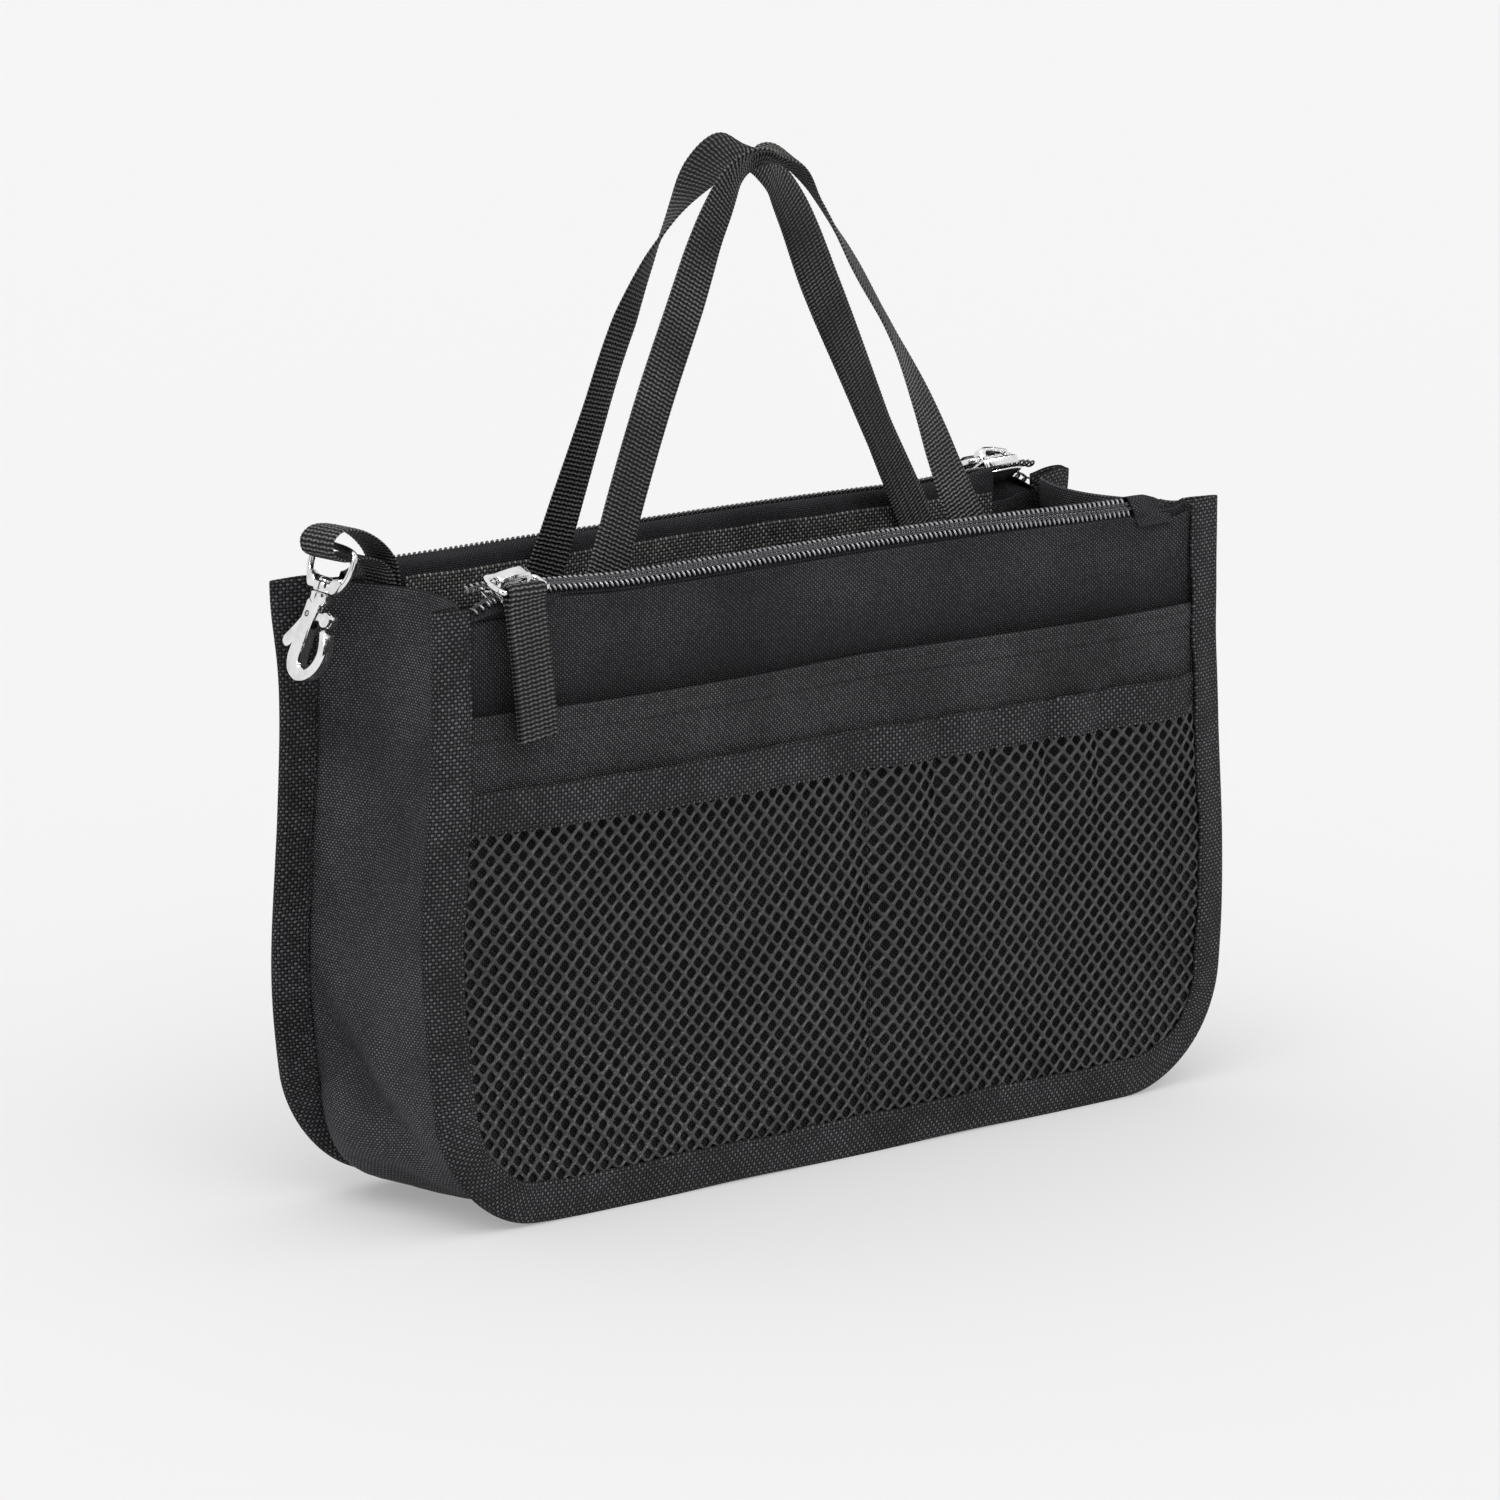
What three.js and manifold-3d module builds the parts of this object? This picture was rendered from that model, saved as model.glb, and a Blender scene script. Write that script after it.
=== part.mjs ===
// A black polyester toiletry bag: two zipped wall pouches joined by one U-shaped gusset, two webbing
// handles, pockets outside and inside, and a swivel snap hook on a webbing loop.
// Millimetres, +Z up, the front (netted) wall faces -Y, the origin is at the bottom centre of the bag.
import * as THREE from "three";
import { mergeVertices } from "three/addons/utils/BufferGeometryUtils.js";
import Module from "manifold-3d";

const wasm = await Module();
wasm.setup();

// Driving dimensions of the bag
const bagWidth = 288; // over the bound edges, at the top
const bagHeight = 171; // top of the bound edges
const bagDepth = 70.8; // over the two bound edges, front to rear
const cornerRadius = 34; // bottom corners of the walls
const sideBulge = 3.8; // how far each side stands out at its fullest
const bulgeHeight = 0.82 * bagHeight; // the sides are straight above this height

// Cloth and its fits
const clothThickness = 0.5;
const layerGap = 0.3; // clearance between neighbouring layers
const seamAllowance = 1.0; // from the edge of the binding to the edge of the cloth in it
const bindingThickness = 0.6;
const bindingFrontWidth = 12;
const bindingRearWidth = 10.5;

// Pockets, heights above the floor
const panelTop = bagHeight - 5;
const slipPocketTop = bagHeight - 29.5;
const netPocketTop = 0.64 * bagHeight;
const pocketTapeHeight = 11.2;
const pocketTapeThickness = 1.1;
const netBulge = 2.6; // how far the net stands off at its middle
const netPitch = 15; // sideways, from mesh to mesh
const netRowPitch = 8;
const netStrand = 2.6; // width of the net's strands
const netMargin = 15; // from the edge of the wall to the first mesh
const innerPocketWidth = bagWidth - 74;
const innerPocketBottom = 0.375 * bagHeight;
const innerPocketTop = bagHeight - 13.4;
const innerTapeHeight = 11.4;

// The pouch between a wall's outer panel and inner wall
const pouchDepth = 8.5;
const pouchSideSlope = 22; // sideways run of the inner wall's slanted sides
const pouchBottomSlope = 45;

// Gusset
const gussetTop = bagHeight - 1;
const gussetInset = 11.45; // its middle surface, in from the edge of the binding
const gussetBow = 10; // how far its top edge is drawn in, at the middle
const gussetBowStart = 0.35 * bagHeight; // height where the bow starts
const gussetSag = 2.5; // how far the bottom hangs between its two seams

// Zips
const zipHeight = bagHeight + 1.6;
const zipTilt = THREE.MathUtils.degToRad(30); // the chain's face leans outwards
const tapeReach = 6.6; // flat part of each tape, from the middle of the chain
const tapeHem = 8; // how far the tape runs down behind the cloth
const chainHalfWidth = 2.7;
const coilBottom = 0.55;
const coilTop = 2.2;
const toothPitch = 5.6;
const toothLength = 2.2;
const toothRoot = 1.1;
const toothTip = 0.15; // how far the teeth reach past the middle of the chain
const rowSpread = 1.8; // how far each row stands off where the zip is open
const rowSpreadLength = 3.2;
const tapeEnd = bagWidth / 2 - 12.5;
const chainEnd = tapeEnd - 21;
const endTabStart = chainEnd + 0.5;
const endTabEnd = tapeEnd - 5.5;
const zipPark = 14.5 - tapeEnd; // middle of the slider, with the zip closed

// Zip slider
const sliderNose = 7;
const sliderMouth = -6;
const wingThickness = 0.8;
const sliderFloor = -0.6; // inside faces of the two wings
const sliderRoof = 2.6;
const railBottom = 0.75;
const postLength = 2.2;
const postWidth = 1.2;
const postPlace = -3.5;
const wireRadius = 0.85;
const wireClearance = 0.25;
const crownHalfWidth = wireRadius + wireClearance + 0.9;
const crownStart = -5.6;
const crownEnd = 5.4;
const crownBar = 4.6; // height of the pull loop's bar above the tape
const crownTop = crownBar + wireRadius + wireClearance + 2;
const pullLoopWidth = 16; // between the middles of the wire
const pullLoopDrop = 2.0; // height from the crown's bar down to the outer bar
const pullLoopReach = 6.1;
const pullTabLength = 40;
const pullTabSlant = THREE.MathUtils.degToRad(7);

// Webbing handles
const webbingWidth = 13.4;
const webbingThickness = 1.1;
const handleLeanStart = bagHeight - 8;
const handleRise = 110.5; // crest of the handles above the top edge
const handleCrest = bagHeight + handleRise;
const handleCrestDepth = 7;
const handleBend = bagHeight + 5.5; // height where the handle folds over
const handleTwistStart = bagHeight + 14;
const handleSteps = 40;

// Snap hook
const ringBarRise = 9.9; // above the top edge of the bag
const ringBarInset = 7; // from the side of the bag
const ringLean = THREE.MathUtils.degToRad(18.4); // away from the bag
const ringTilt = THREE.MathUtils.degToRad(5); // towards the rear
const ringDrop = 10.8; // from the bar down to the swivel boss
const ringWire = 1.0;
const ringTopHalf = 8.2;
const ringBottomHalf = 5.6;
const bossRadius = 3.0;
const saddleThickness = 3.4;
const saddleShoulder = 2.7; // how far the saddle's two shoulders rise beside the post's head
const bossHeight = 2.4;
const swivelRadius = 1.2;
const postHeadRadius = 2.1;
const swivelClearance = 0.3;
const socketDepth = 2.4; // how deep the post sits in the hook's neck
const hookThickness = 3.8;
const gateThickness = 1.6;
const gateSlot = 2.2;
const gatePivot = new THREE.Vector2(-1.7, -8); // across, along the hook's axis
const gatePinRadius = 0.6;

const black = { color: 0x1b1b1e, roughness: 0.88, metalness: 0 };
const materials = {
  cloth: () => new THREE.MeshStandardMaterial(black),
  net: () => new THREE.MeshStandardMaterial({ ...black, color: 0x2a2a2f, roughness: 0.6 }),
  webbing: () => new THREE.MeshStandardMaterial({ ...black, color: 0x232425, roughness: 0.8 }),
  binding: () => new THREE.MeshStandardMaterial({ ...black, color: 0x222223, roughness: 0.85 }),
  coil: () => new THREE.MeshStandardMaterial({ ...black, color: 0x141417, roughness: 0.35 }),
  chrome: () => new THREE.MeshStandardMaterial({ color: 0xdcdde0, roughness: 0.14, metalness: 1 }),
  steel: () => new THREE.MeshStandardMaterial({ color: 0xa9abb0, roughness: 0.3, metalness: 1 }),
};

// Layers of a wall, by the distance of their outer face from the middle of the bag
const layerStep = clothThickness + layerGap;
const bindingOuter = bagDepth / 2;
const netFace = bindingOuter - bindingThickness - layerGap;
const slipFace = netFace - layerStep;
const panelFace = slipFace - layerStep;
const tapeFace = panelFace - layerStep;
const innerWallEdgeFace = tapeFace - layerStep;
const gussetFlangeFace = innerWallEdgeFace - layerStep;
const bindingInner = gussetFlangeFace - clothThickness - layerGap - bindingThickness;
const innerWallFace = panelFace - pouchDepth;
const innerPocketFace = innerWallFace - clothThickness - layerGap;
const zipDepth = panelFace - 2.4; // middle of the chain
const handleDepth = innerPocketFace - clothThickness - layerGap - webbingThickness / 2;

const hookStrapPlace = innerPocketFace - webbingWidth / 2 - 0.9; // from the middle of the bag
const ringBar = new THREE.Vector3(
  ringBarInset - bagWidth / 2,
  hookStrapPlace,
  bagHeight + ringBarRise,
);

// Solid modelling helpers

function clean(geometry) {
  const bare = geometry.index ? geometry.toNonIndexed() : geometry.clone();
  bare.deleteAttribute("normal");
  bare.deleteAttribute("uv");
  return mergeVertices(bare, 1e-4);
}

function toSolid(geometry) {
  const merged = clean(geometry);
  return new wasm.Manifold(
    new wasm.Mesh({
      numProp: 3,
      vertProperties: new Float32Array(merged.attributes.position.array),
      triVerts: new Uint32Array(merged.index.array),
    }),
  );
}

function toGeometry(solid) {
  const mesh = solid.getMesh();
  const geometry = new THREE.BufferGeometry();
  geometry.setAttribute("position", new THREE.BufferAttribute(mesh.vertProperties, 3));
  geometry.setIndex(new THREE.BufferAttribute(mesh.triVerts, 1));
  return geometry;
}

// A surface given by its corner points and triangles, turned face out.
function closedSurface(points, triangles) {
  let volume = 0;
  for (const [a, b, c] of triangles) {
    volume += points[a].dot(points[b].clone().cross(points[c]));
  }
  const index = volume > 0 ? triangles.flat() : triangles.flatMap(([a, b, c]) => [a, c, b]);
  const geometry = new THREE.BufferGeometry().setFromPoints(points);
  geometry.setIndex(index);
  return geometry;
}

// Joins sections, each a ring of as many points, into one closed body. flatSection gives the
// section's outline in the plane, from which the two end caps are filled.
function loft(sections, flatSection, closed = false) {
  const count = sections[0].length;
  const points = sections.flat();
  const triangles = [];
  const spans = closed ? sections.length : sections.length - 1;
  for (let i = 0; i < spans; i++) {
    const here = i * count;
    const next = ((i + 1) % sections.length) * count;
    for (let j = 0; j < count; j++) {
      const k = (j + 1) % count;
      triangles.push([here + j, here + k, next + k], [here + j, next + k, next + j]);
    }
  }
  if (!closed) {
    const last = (sections.length - 1) * count;
    const clockwise = THREE.ShapeUtils.isClockWise(flatSection);
    for (const [a, b, c] of THREE.ShapeUtils.triangulateShape(flatSection, [])) {
      const [second, third] = clockwise ? [c, b] : [b, c];
      triangles.push([a, third, second], [last + a, last + second, last + third]);
    }
  }
  return closedSurface(points, triangles);
}

// The outline of a ribbon of even thickness that follows a path in the plane.
function ribbonOutline(path, thickness) {
  const sides = [[], []];
  path.forEach((point, i) => {
    const before = path[Math.max(i - 1, 0)];
    const after = path[Math.min(i + 1, path.length - 1)];
    const into = point.clone().sub(before).normalize();
    const out = after.clone().sub(point).normalize();
    if (i === 0) into.copy(out);
    if (i === path.length - 1) out.copy(into);
    const along = into.clone().add(out).normalize();
    const across = new THREE.Vector2(-along.y, along.x);
    const mitre = thickness / 2 / Math.max(along.dot(out), 0.5);
    sides[0].push(point.clone().addScaledVector(across, mitre));
    sides[1].push(point.clone().addScaledVector(across, -mitre));
  });
  return [...sides[0], ...sides[1].reverse()];
}

// A smooth version of a path, through the same points.
function smoothPath(path, divisions) {
  return new THREE.SplineCurve(path).getSpacedPoints(divisions);
}

// A ribbon that runs straight along X: its section is given by depth and height.
function alongX(outline, from, to, spread = () => 0, steps = 1) {
  const sections = [];
  for (let i = 0; i <= steps; i++) {
    const x = from + ((to - from) * i) / steps;
    sections.push(outline.map((p) => new THREE.Vector3(x, -(p.x + spread(x)), p.y)));
  }
  return loft(sections, outline);
}

function extrude(outline, depth) {
  const shape = new THREE.Shape(outline);
  return new THREE.ExtrudeGeometry(shape, { depth, bevelEnabled: false });
}

// The corners of a drawn outline, without the points that lie closer together than spacing.
function outlinePoints(shape, spacing = 0.6) {
  const kept = [];
  for (const point of shape.getPoints(5)) {
    const last = kept[kept.length - 1];
    if (!last || last.distanceTo(point) > spacing) kept.push(point);
  }
  while (kept[0].distanceTo(kept[kept.length - 1]) < spacing) kept.pop();
  return kept;
}

// An outline moved inwards by a distance, corner by corner.
function insetOutline(points, distance) {
  const side = THREE.ShapeUtils.isClockWise(points) ? -1 : 1;
  return points.map((point, i) => {
    const before = points[(i + points.length - 1) % points.length];
    const after = points[(i + 1) % points.length];
    const into = point.clone().sub(before).normalize();
    const out = after.clone().sub(point).normalize();
    const along = into.clone().add(out).normalize();
    const inward = new THREE.Vector2(-along.y, along.x).multiplyScalar(side);
    return point.clone().addScaledVector(inward, distance / Math.max(along.dot(out), 0.6));
  });
}

// A plate with broken edges, centred on its own middle plane.
function chamferedPlate(shape, thickness, bevel) {
  const outline = outlinePoints(shape);
  const small = insetOutline(outline, bevel);
  const half = thickness / 2;
  const levels = [
    [small, -half],
    [outline, -half + bevel],
    [outline, half - bevel],
    [small, half],
  ];
  const sections = levels.map(([ring, z]) => ring.map((p) => new THREE.Vector3(p.x, p.y, z)));
  return loft(sections, small);
}

function cylinder(radius, length, axis, center, sides = 20) {
  const geometry = new THREE.CylinderGeometry(radius, radius, length, sides);
  const turn = new THREE.Quaternion().setFromUnitVectors(new THREE.Vector3(0, 1, 0), axis);
  return geometry.applyQuaternion(turn).translate(center.x, center.y, center.z);
}

function box(low, high) {
  const size = high.clone().sub(low);
  const middle = low.clone().add(high).multiplyScalar(0.5);
  return new THREE.BoxGeometry(size.x, size.y, size.z).translate(middle.x, middle.y, middle.z);
}

// A round wire along a closed flat curve: the points lie in the plane across the given normal.
function wireLoop(points, normal, radius, sides = 10) {
  const sections = points.map((point, i) => {
    const before = points[(i + points.length - 1) % points.length];
    const after = points[(i + 1) % points.length];
    const along = after.clone().sub(before).normalize();
    const across = new THREE.Vector3().crossVectors(along, normal).normalize();
    const ring = [];
    for (let k = 0; k < sides; k++) {
      const angle = (2 * Math.PI * k) / sides;
      ring.push(
        point
          .clone()
          .addScaledVector(across, radius * Math.cos(angle))
          .addScaledVector(normal, radius * Math.sin(angle)),
      );
    }
    return ring;
  });
  return loft(sections, null, true);
}

// Points round a rectangle with rounded corners, in the plane.
function roundedRectangle(halfWidth, low, high, radius, cornerSteps = 4) {
  const corners = [
    [halfWidth - radius, high - radius, 0],
    [-halfWidth + radius, high - radius, 90],
    [-halfWidth + radius, low + radius, 180],
    [halfWidth - radius, low + radius, 270],
  ];
  return corners.flatMap(([x, y, start]) => {
    const arc = [];
    for (let i = 0; i <= cornerSteps; i++) {
      const angle = THREE.MathUtils.degToRad(start + (90 * i) / cornerSteps);
      arc.push(new THREE.Vector2(x + radius * Math.cos(angle), y + radius * Math.sin(angle)));
    }
    return arc;
  });
}

// The U-shaped outline of a wall

// Stations down the left side, round the bottom and up the right side, each with the point on the
// edge and the direction into the wall.
function edgeStations(top) {
  const sideSteps = 8;
  const cornerSteps = 7;
  const half = bagWidth / 2;
  const stations = [];
  for (let i = 0; i < sideSteps; i++) {
    const z = top + ((cornerRadius - top) * i) / sideSteps;
    stations.push({ point: new THREE.Vector2(-half, z), inward: new THREE.Vector2(1, 0) });
  }
  for (let i = 0; i <= cornerSteps; i++) {
    const angle = (Math.PI / 2) * (i / cornerSteps);
    const inward = new THREE.Vector2(Math.cos(angle), Math.sin(angle));
    const center = new THREE.Vector2(-half + cornerRadius, cornerRadius);
    stations.push({ point: center.addScaledVector(inward, -cornerRadius), inward });
  }
  const mirrored = stations
    .map(({ point, inward }) => ({
      point: new THREE.Vector2(-point.x, point.y),
      inward: new THREE.Vector2(-inward.x, inward.y),
    }))
    .reverse();
  const middle = { point: new THREE.Vector2(0, 0), inward: new THREE.Vector2(0, 1) };
  return [...stations, middle, ...mirrored];
}

// Half the wall's width at a height, for cloth cut back from the edge by inset.
function halfWidthAt(z, inset) {
  const radius = cornerRadius - inset;
  const half = bagWidth / 2 - inset;
  const below = cornerRadius - z;
  if (below <= 0) return half;
  return half - radius + Math.sqrt(Math.max(radius * radius - below * below, 0));
}

// The heights that a cut piece needs to follow the rounded bottom corners.
function cutHeights(inset, top, more = []) {
  const radius = cornerRadius - inset;
  const heights = [];
  for (let i = 0; i <= 6; i++) {
    heights.push(cornerRadius - radius * Math.cos((Math.PI / 2) * (i / 6)));
  }
  return [...heights, ...more, top].filter((z, i, all) => all.indexOf(z) === i).sort((a, b) => a - b);
}

// The sides of the bag stand out a little, most at half height.
function fillOut(geometry) {
  const position = geometry.attributes.position;
  for (let i = 0; i < position.count; i++) {
    const z = Math.min(Math.max(position.getZ(i), 0), bulgeHeight);
    const swell = Math.sin((Math.PI * z) / bulgeHeight) ** 2;
    position.setX(i, position.getX(i) * (1 + (swell * sideBulge) / (bagWidth / 2)));
  }
  return geometry;
}

// A sheet of cloth, thick enough to be a solid, cut to the U outline of the wall.
function cutSheet({ inset, top, columns = [-1, 1], more = [], faceAt, thickness = clothThickness }) {
  const heights = cutHeights(inset, top, more);
  const outer = [];
  const inner = [];
  for (const z of heights) {
    for (const share of columns) {
      const x = share * halfWidthAt(z, inset);
      outer.push(new THREE.Vector3(x, -faceAt(x, z), z));
      inner.push(new THREE.Vector3(x, -faceAt(x, z) + thickness, z));
    }
  }
  return slab(outer, inner, columns.length, heights.length);
}

// Closes two matching grids of points into one body.
function slab(outer, inner, columns, rows) {
  const size = columns * rows;
  const triangles = [];
  const quad = (a, b, c, d) => triangles.push([a, b, c], [a, c, d]);
  for (let r = 0; r + 1 < rows; r++) {
    for (let c = 0; c + 1 < columns; c++) {
      const a = r * columns + c;
      quad(a, a + 1, a + columns + 1, a + columns);
      quad(size + a, size + a + columns, size + a + columns + 1, size + a + 1);
    }
  }
  for (let c = 0; c + 1 < columns; c++) {
    const top = (rows - 1) * columns + c;
    quad(c + 1, c, size + c, size + c + 1);
    quad(top, top + 1, size + top + 1, size + top);
  }
  for (let r = 0; r + 1 < rows; r++) {
    const left = r * columns;
    const right = left + columns - 1;
    quad(left, left + columns, size + left + columns, size + left);
    quad(right + columns, right, size + right, size + right + columns);
  }
  return closedSurface([...outer, ...inner], triangles);
}

// Cloth parts of a wall

// The woven tape that is folded round the edge of all the layers and sewn through them.
function bindingGeometry() {
  const middle = bindingThickness / 2;
  const path = [
    new THREE.Vector2(bindingRearWidth, bindingInner + middle),
    new THREE.Vector2(middle, bindingInner + middle),
    new THREE.Vector2(middle, bindingOuter - middle),
    new THREE.Vector2(bindingFrontWidth, bindingOuter - middle),
  ];
  const outline = ribbonOutline(path, bindingThickness);
  const sections = edgeStations(bagHeight).map(({ point, inward }) =>
    outline.map(
      (p) => new THREE.Vector3(point.x + inward.x * p.x, -p.y, point.y + inward.y * p.x),
    ),
  );
  return fillOut(loft(sections, outline));
}

function smooth(from, to, value) {
  return THREE.MathUtils.smoothstep(value, from, to);
}

// The inner wall leaves the seams and stands off by the depth of the pouch.
function innerWallFaceAt(x, z) {
  const beyond = Math.max(Math.abs(x) - (bagWidth / 2 - cornerRadius), 0);
  const below = Math.max(cornerRadius - z, 0);
  const fromSeam = cornerRadius - Math.hypot(beyond, below) - bindingFrontWidth;
  const sideways = smooth(0, pouchSideSlope, cornerRadius - beyond - bindingFrontWidth);
  const upward = smooth(0, pouchBottomSlope, z - bindingFrontWidth);
  const share = sideways * upward * smooth(0, bindingFrontWidth, fromSeam);
  return THREE.MathUtils.lerp(innerWallEdgeFace, innerWallFace, share);
}

const wallRows = [13, 41, 50, 58, 82, 105, bulgeHeight];

function innerWallGeometry() {
  const shares = [0.72, 0.77, 0.82, 0.87, 0.92, 1];
  return fillOut(
    cutSheet({
      inset: seamAllowance,
      top: panelTop,
      columns: [...shares.map((s) => -s).reverse(), ...shares],
      more: wallRows,
      faceAt: innerWallFaceAt,
    }),
  );
}

// The net pocket: a flat outline with staggered diamond meshes, bulged outwards at its middle.
function netGeometry() {
  const shape = new THREE.Shape();
  const heights = cutHeights(seamAllowance, netPocketTop);
  heights.forEach((z, i) => {
    const x = halfWidthAt(z, seamAllowance);
    if (i === 0) shape.moveTo(x, z);
    else shape.lineTo(x, z);
  });
  for (const z of [...heights].reverse()) shape.lineTo(-halfWidthAt(z, seamAllowance), z);
  const halfWide = (netPitch - netStrand * Math.SQRT2) / 2;
  const halfHigh = netRowPitch - (netStrand * Math.SQRT2) / 2;
  let row = 0;
  for (let z = netMargin + halfHigh; z + halfHigh < netPocketTop - 1; z += netRowPitch) {
    const limit = halfWidthAt(z - halfHigh, netMargin) - halfWide;
    const shift = (row % 2) / 2;
    const most = Math.floor(limit / netPitch + 1);
    for (let column = -most; column <= most; column++) {
      const x = (column + shift) * netPitch;
      if (Math.abs(x) > limit) continue;
      const mesh = new THREE.Path();
      mesh.moveTo(x - halfWide, z);
      mesh.lineTo(x, z + halfHigh);
      mesh.lineTo(x + halfWide, z);
      mesh.lineTo(x, z - halfHigh);
      mesh.closePath();
      shape.holes.push(mesh);
    }
    row += 1;
  }
  const geometry = clean(
    new THREE.ExtrudeGeometry(shape, { depth: clothThickness, bevelEnabled: false }),
  );
  geometry.rotateX(Math.PI / 2).translate(0, -(netFace - clothThickness), 0);
  const position = geometry.attributes.position;
  const edge = bagWidth / 2 - bindingFrontWidth;
  for (let i = 0; i < position.count; i++) {
    const x = THREE.MathUtils.clamp(position.getX(i) / edge, -1, 1);
    const z = smooth(bindingFrontWidth, netPocketTop / 2, position.getZ(i));
    position.setY(i, position.getY(i) - netBulge * (1 - x * x) * z);
  }
  return fillOut(geometry);
}

// How far the net pocket's taped edge stands off the wall.
function netTopBulge(x) {
  const edge = bagWidth / 2 - bindingFrontWidth;
  return netBulge * (1 - Math.min((x / edge) ** 2, 1));
}

// A tape across the wall, sewn over the top edge of a pocket.
function pocketTapeGeometry(low, halfWidth, face, standOff, columns = 16) {
  const outer = [];
  const inner = [];
  for (const z of [low, low + pocketTapeHeight]) {
    for (let i = 0; i <= columns; i++) {
      const x = halfWidth * ((2 * i) / columns - 1);
      const y = -(face + standOff(x));
      outer.push(new THREE.Vector3(x, y, z));
      inner.push(new THREE.Vector3(x, y + pocketTapeThickness, z));
    }
  }
  return slab(outer, inner, columns + 1, 2);
}

// The gusset: one strip that makes the left side, the bottom and the right side. Its two long
// edges are turned outwards into the bindings.
function gussetGeometry() {
  const seam = gussetFlangeFace - clothThickness / 2;
  const shares = [-1, -0.66, -0.25, 0.25, 0.66, 1];
  const flat = (draw) =>
    ribbonOutline(
      [
        new THREE.Vector2(seamAllowance, -seam),
        ...shares.map((s) => new THREE.Vector2(gussetInset + draw * (1 - s * s), s * seam)),
        new THREE.Vector2(seamAllowance, seam),
      ],
      clothThickness,
    );
  const sections = edgeStations(gussetTop).map(({ point, inward }) => {
    const bow = gussetBow * Math.max((point.y - gussetBowStart) / (gussetTop - gussetBowStart), 0) ** 1.5;
    const sag = gussetSag * Math.max(inward.y, 0) ** 4;
    return flat(bow - sag).map(
      (p) => new THREE.Vector3(point.x + inward.x * p.x, p.y, point.y + inward.y * p.x),
    );
  });
  return fillOut(loft(sections, flat(gussetBow)));
}

// Zips

// A point of the zip's own frame: across the chain (positive inwards and up) and off its face.
function zipPoint(across, off) {
  return new THREE.Vector2(
    zipDepth - across * Math.cos(zipTilt) + off * Math.sin(zipTilt),
    zipHeight + across * Math.sin(zipTilt) + off * Math.cos(zipTilt),
  );
}

const tapeInnerEdge = 1.3;

function outerTapeGeometry() {
  const behindPanel = tapeFace - clothThickness / 2;
  const shoulder = zipPoint(-tapeReach, 0);
  const path = [
    zipPoint(-tapeInnerEdge, 0),
    shoulder,
    shoulder.clone().add(new THREE.Vector2(-0.4, -1.0)),
    new THREE.Vector2(behindPanel, panelTop + 0.4),
    new THREE.Vector2(behindPanel, panelTop - tapeHem),
  ];
  return alongX(ribbonOutline(path, clothThickness), -tapeEnd, tapeEnd);
}

// The inner tape goes down in the pouch, just behind the inner wall.
function innerTapeGeometry() {
  const behindWall = innerWallFace + layerGap + clothThickness / 2;
  const path = [
    zipPoint(tapeInnerEdge, 0),
    zipPoint((zipDepth - behindWall) / Math.cos(zipTilt), 0),
    new THREE.Vector2(behindWall, panelTop - tapeHem),
  ];
  return alongX(ribbonOutline(path, clothThickness), -innerTapeEnd, innerTapeEnd);
}

const innerTapeEnd = bagWidth / 2 - bindingFrontWidth - pouchSideSlope;

// How far a row stands off the closed line: the rows part inside the slider.
function rowShift(x) {
  const run = zipPark + 0.5 - x;
  return run > 0 ? rowSpread * (1 - Math.exp(-run / rowSpreadLength)) : 0;
}

// One row of the coil as a comb: a cord along the tape with teeth that reach over the middle.
// side is -1 for the outer row and 1 for the inner row.
function teethGeometry(side) {
  const start = -tapeEnd + 1;
  const outline = [new THREE.Vector2(start, side * chainHalfWidth)];
  const first = start + 1 + (side > 0 ? toothPitch / 2 : 0);
  for (let x = start; x < first - 1; x += 1) outline.push(new THREE.Vector2(x, side * toothRoot));
  for (let x = first; x + toothLength < chainEnd; x += toothPitch) {
    outline.push(
      new THREE.Vector2(x, side * toothRoot),
      new THREE.Vector2(x, -side * toothTip),
      new THREE.Vector2(x + toothLength, -side * toothTip),
      new THREE.Vector2(x + toothLength, side * toothRoot),
    );
  }
  outline.push(
    new THREE.Vector2(chainEnd, side * toothRoot),
    new THREE.Vector2(chainEnd, side * chainHalfWidth),
  );
  for (let x = zipPark + 2; x > start; x -= 2.5) {
    outline.push(new THREE.Vector2(x, side * chainHalfWidth));
  }
  const geometry = clean(extrude(outline, coilTop - coilBottom));
  const position = geometry.attributes.position;
  for (let i = 0; i < position.count; i++) {
    const x = position.getX(i);
    const across = position.getY(i) + side * rowShift(x);
    const place = zipPoint(across, position.getZ(i) + coilBottom);
    position.setXYZ(i, x, -place.x, place.y);
  }
  return geometry;
}

// The cloth tab that covers the closed end of the chain.
function endTabGeometry() {
  const above = clothThickness + layerGap;
  const insideWall = innerWallFace - 1.5 * clothThickness - layerGap;
  const outerShoulder = zipPoint(-tapeReach - 0.4, above);
  const path = [
    outerShoulder.clone().add(new THREE.Vector2(-0.2, -1.9)),
    outerShoulder,
    zipPoint((zipDepth - insideWall) / Math.cos(zipTilt), above),
    new THREE.Vector2(insideWall, panelTop - 6),
  ];
  return alongX(ribbonOutline(path, clothThickness), endTabStart, endTabEnd);
}

// Plan of the slider's wings, and of the channel for the two rows: half widths along X.
const wingPlan = [
  [sliderMouth, 3.4],
  [sliderMouth + 0.5, 4.5],
  [sliderMouth + 1.5, 5],
  [-1.5, 5],
  [1.2, 4.7],
  [3.4, 4.3],
  [sliderNose - 1.4, 4],
  [sliderNose - 0.5, 3.4],
  [sliderNose, 2.4],
];
const channelPlan = [
  [sliderMouth - 1, 4.6],
  [-3.5, 4.45],
  [0.8, 3.1],
  [sliderNose + 1, 3.1],
];

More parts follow.
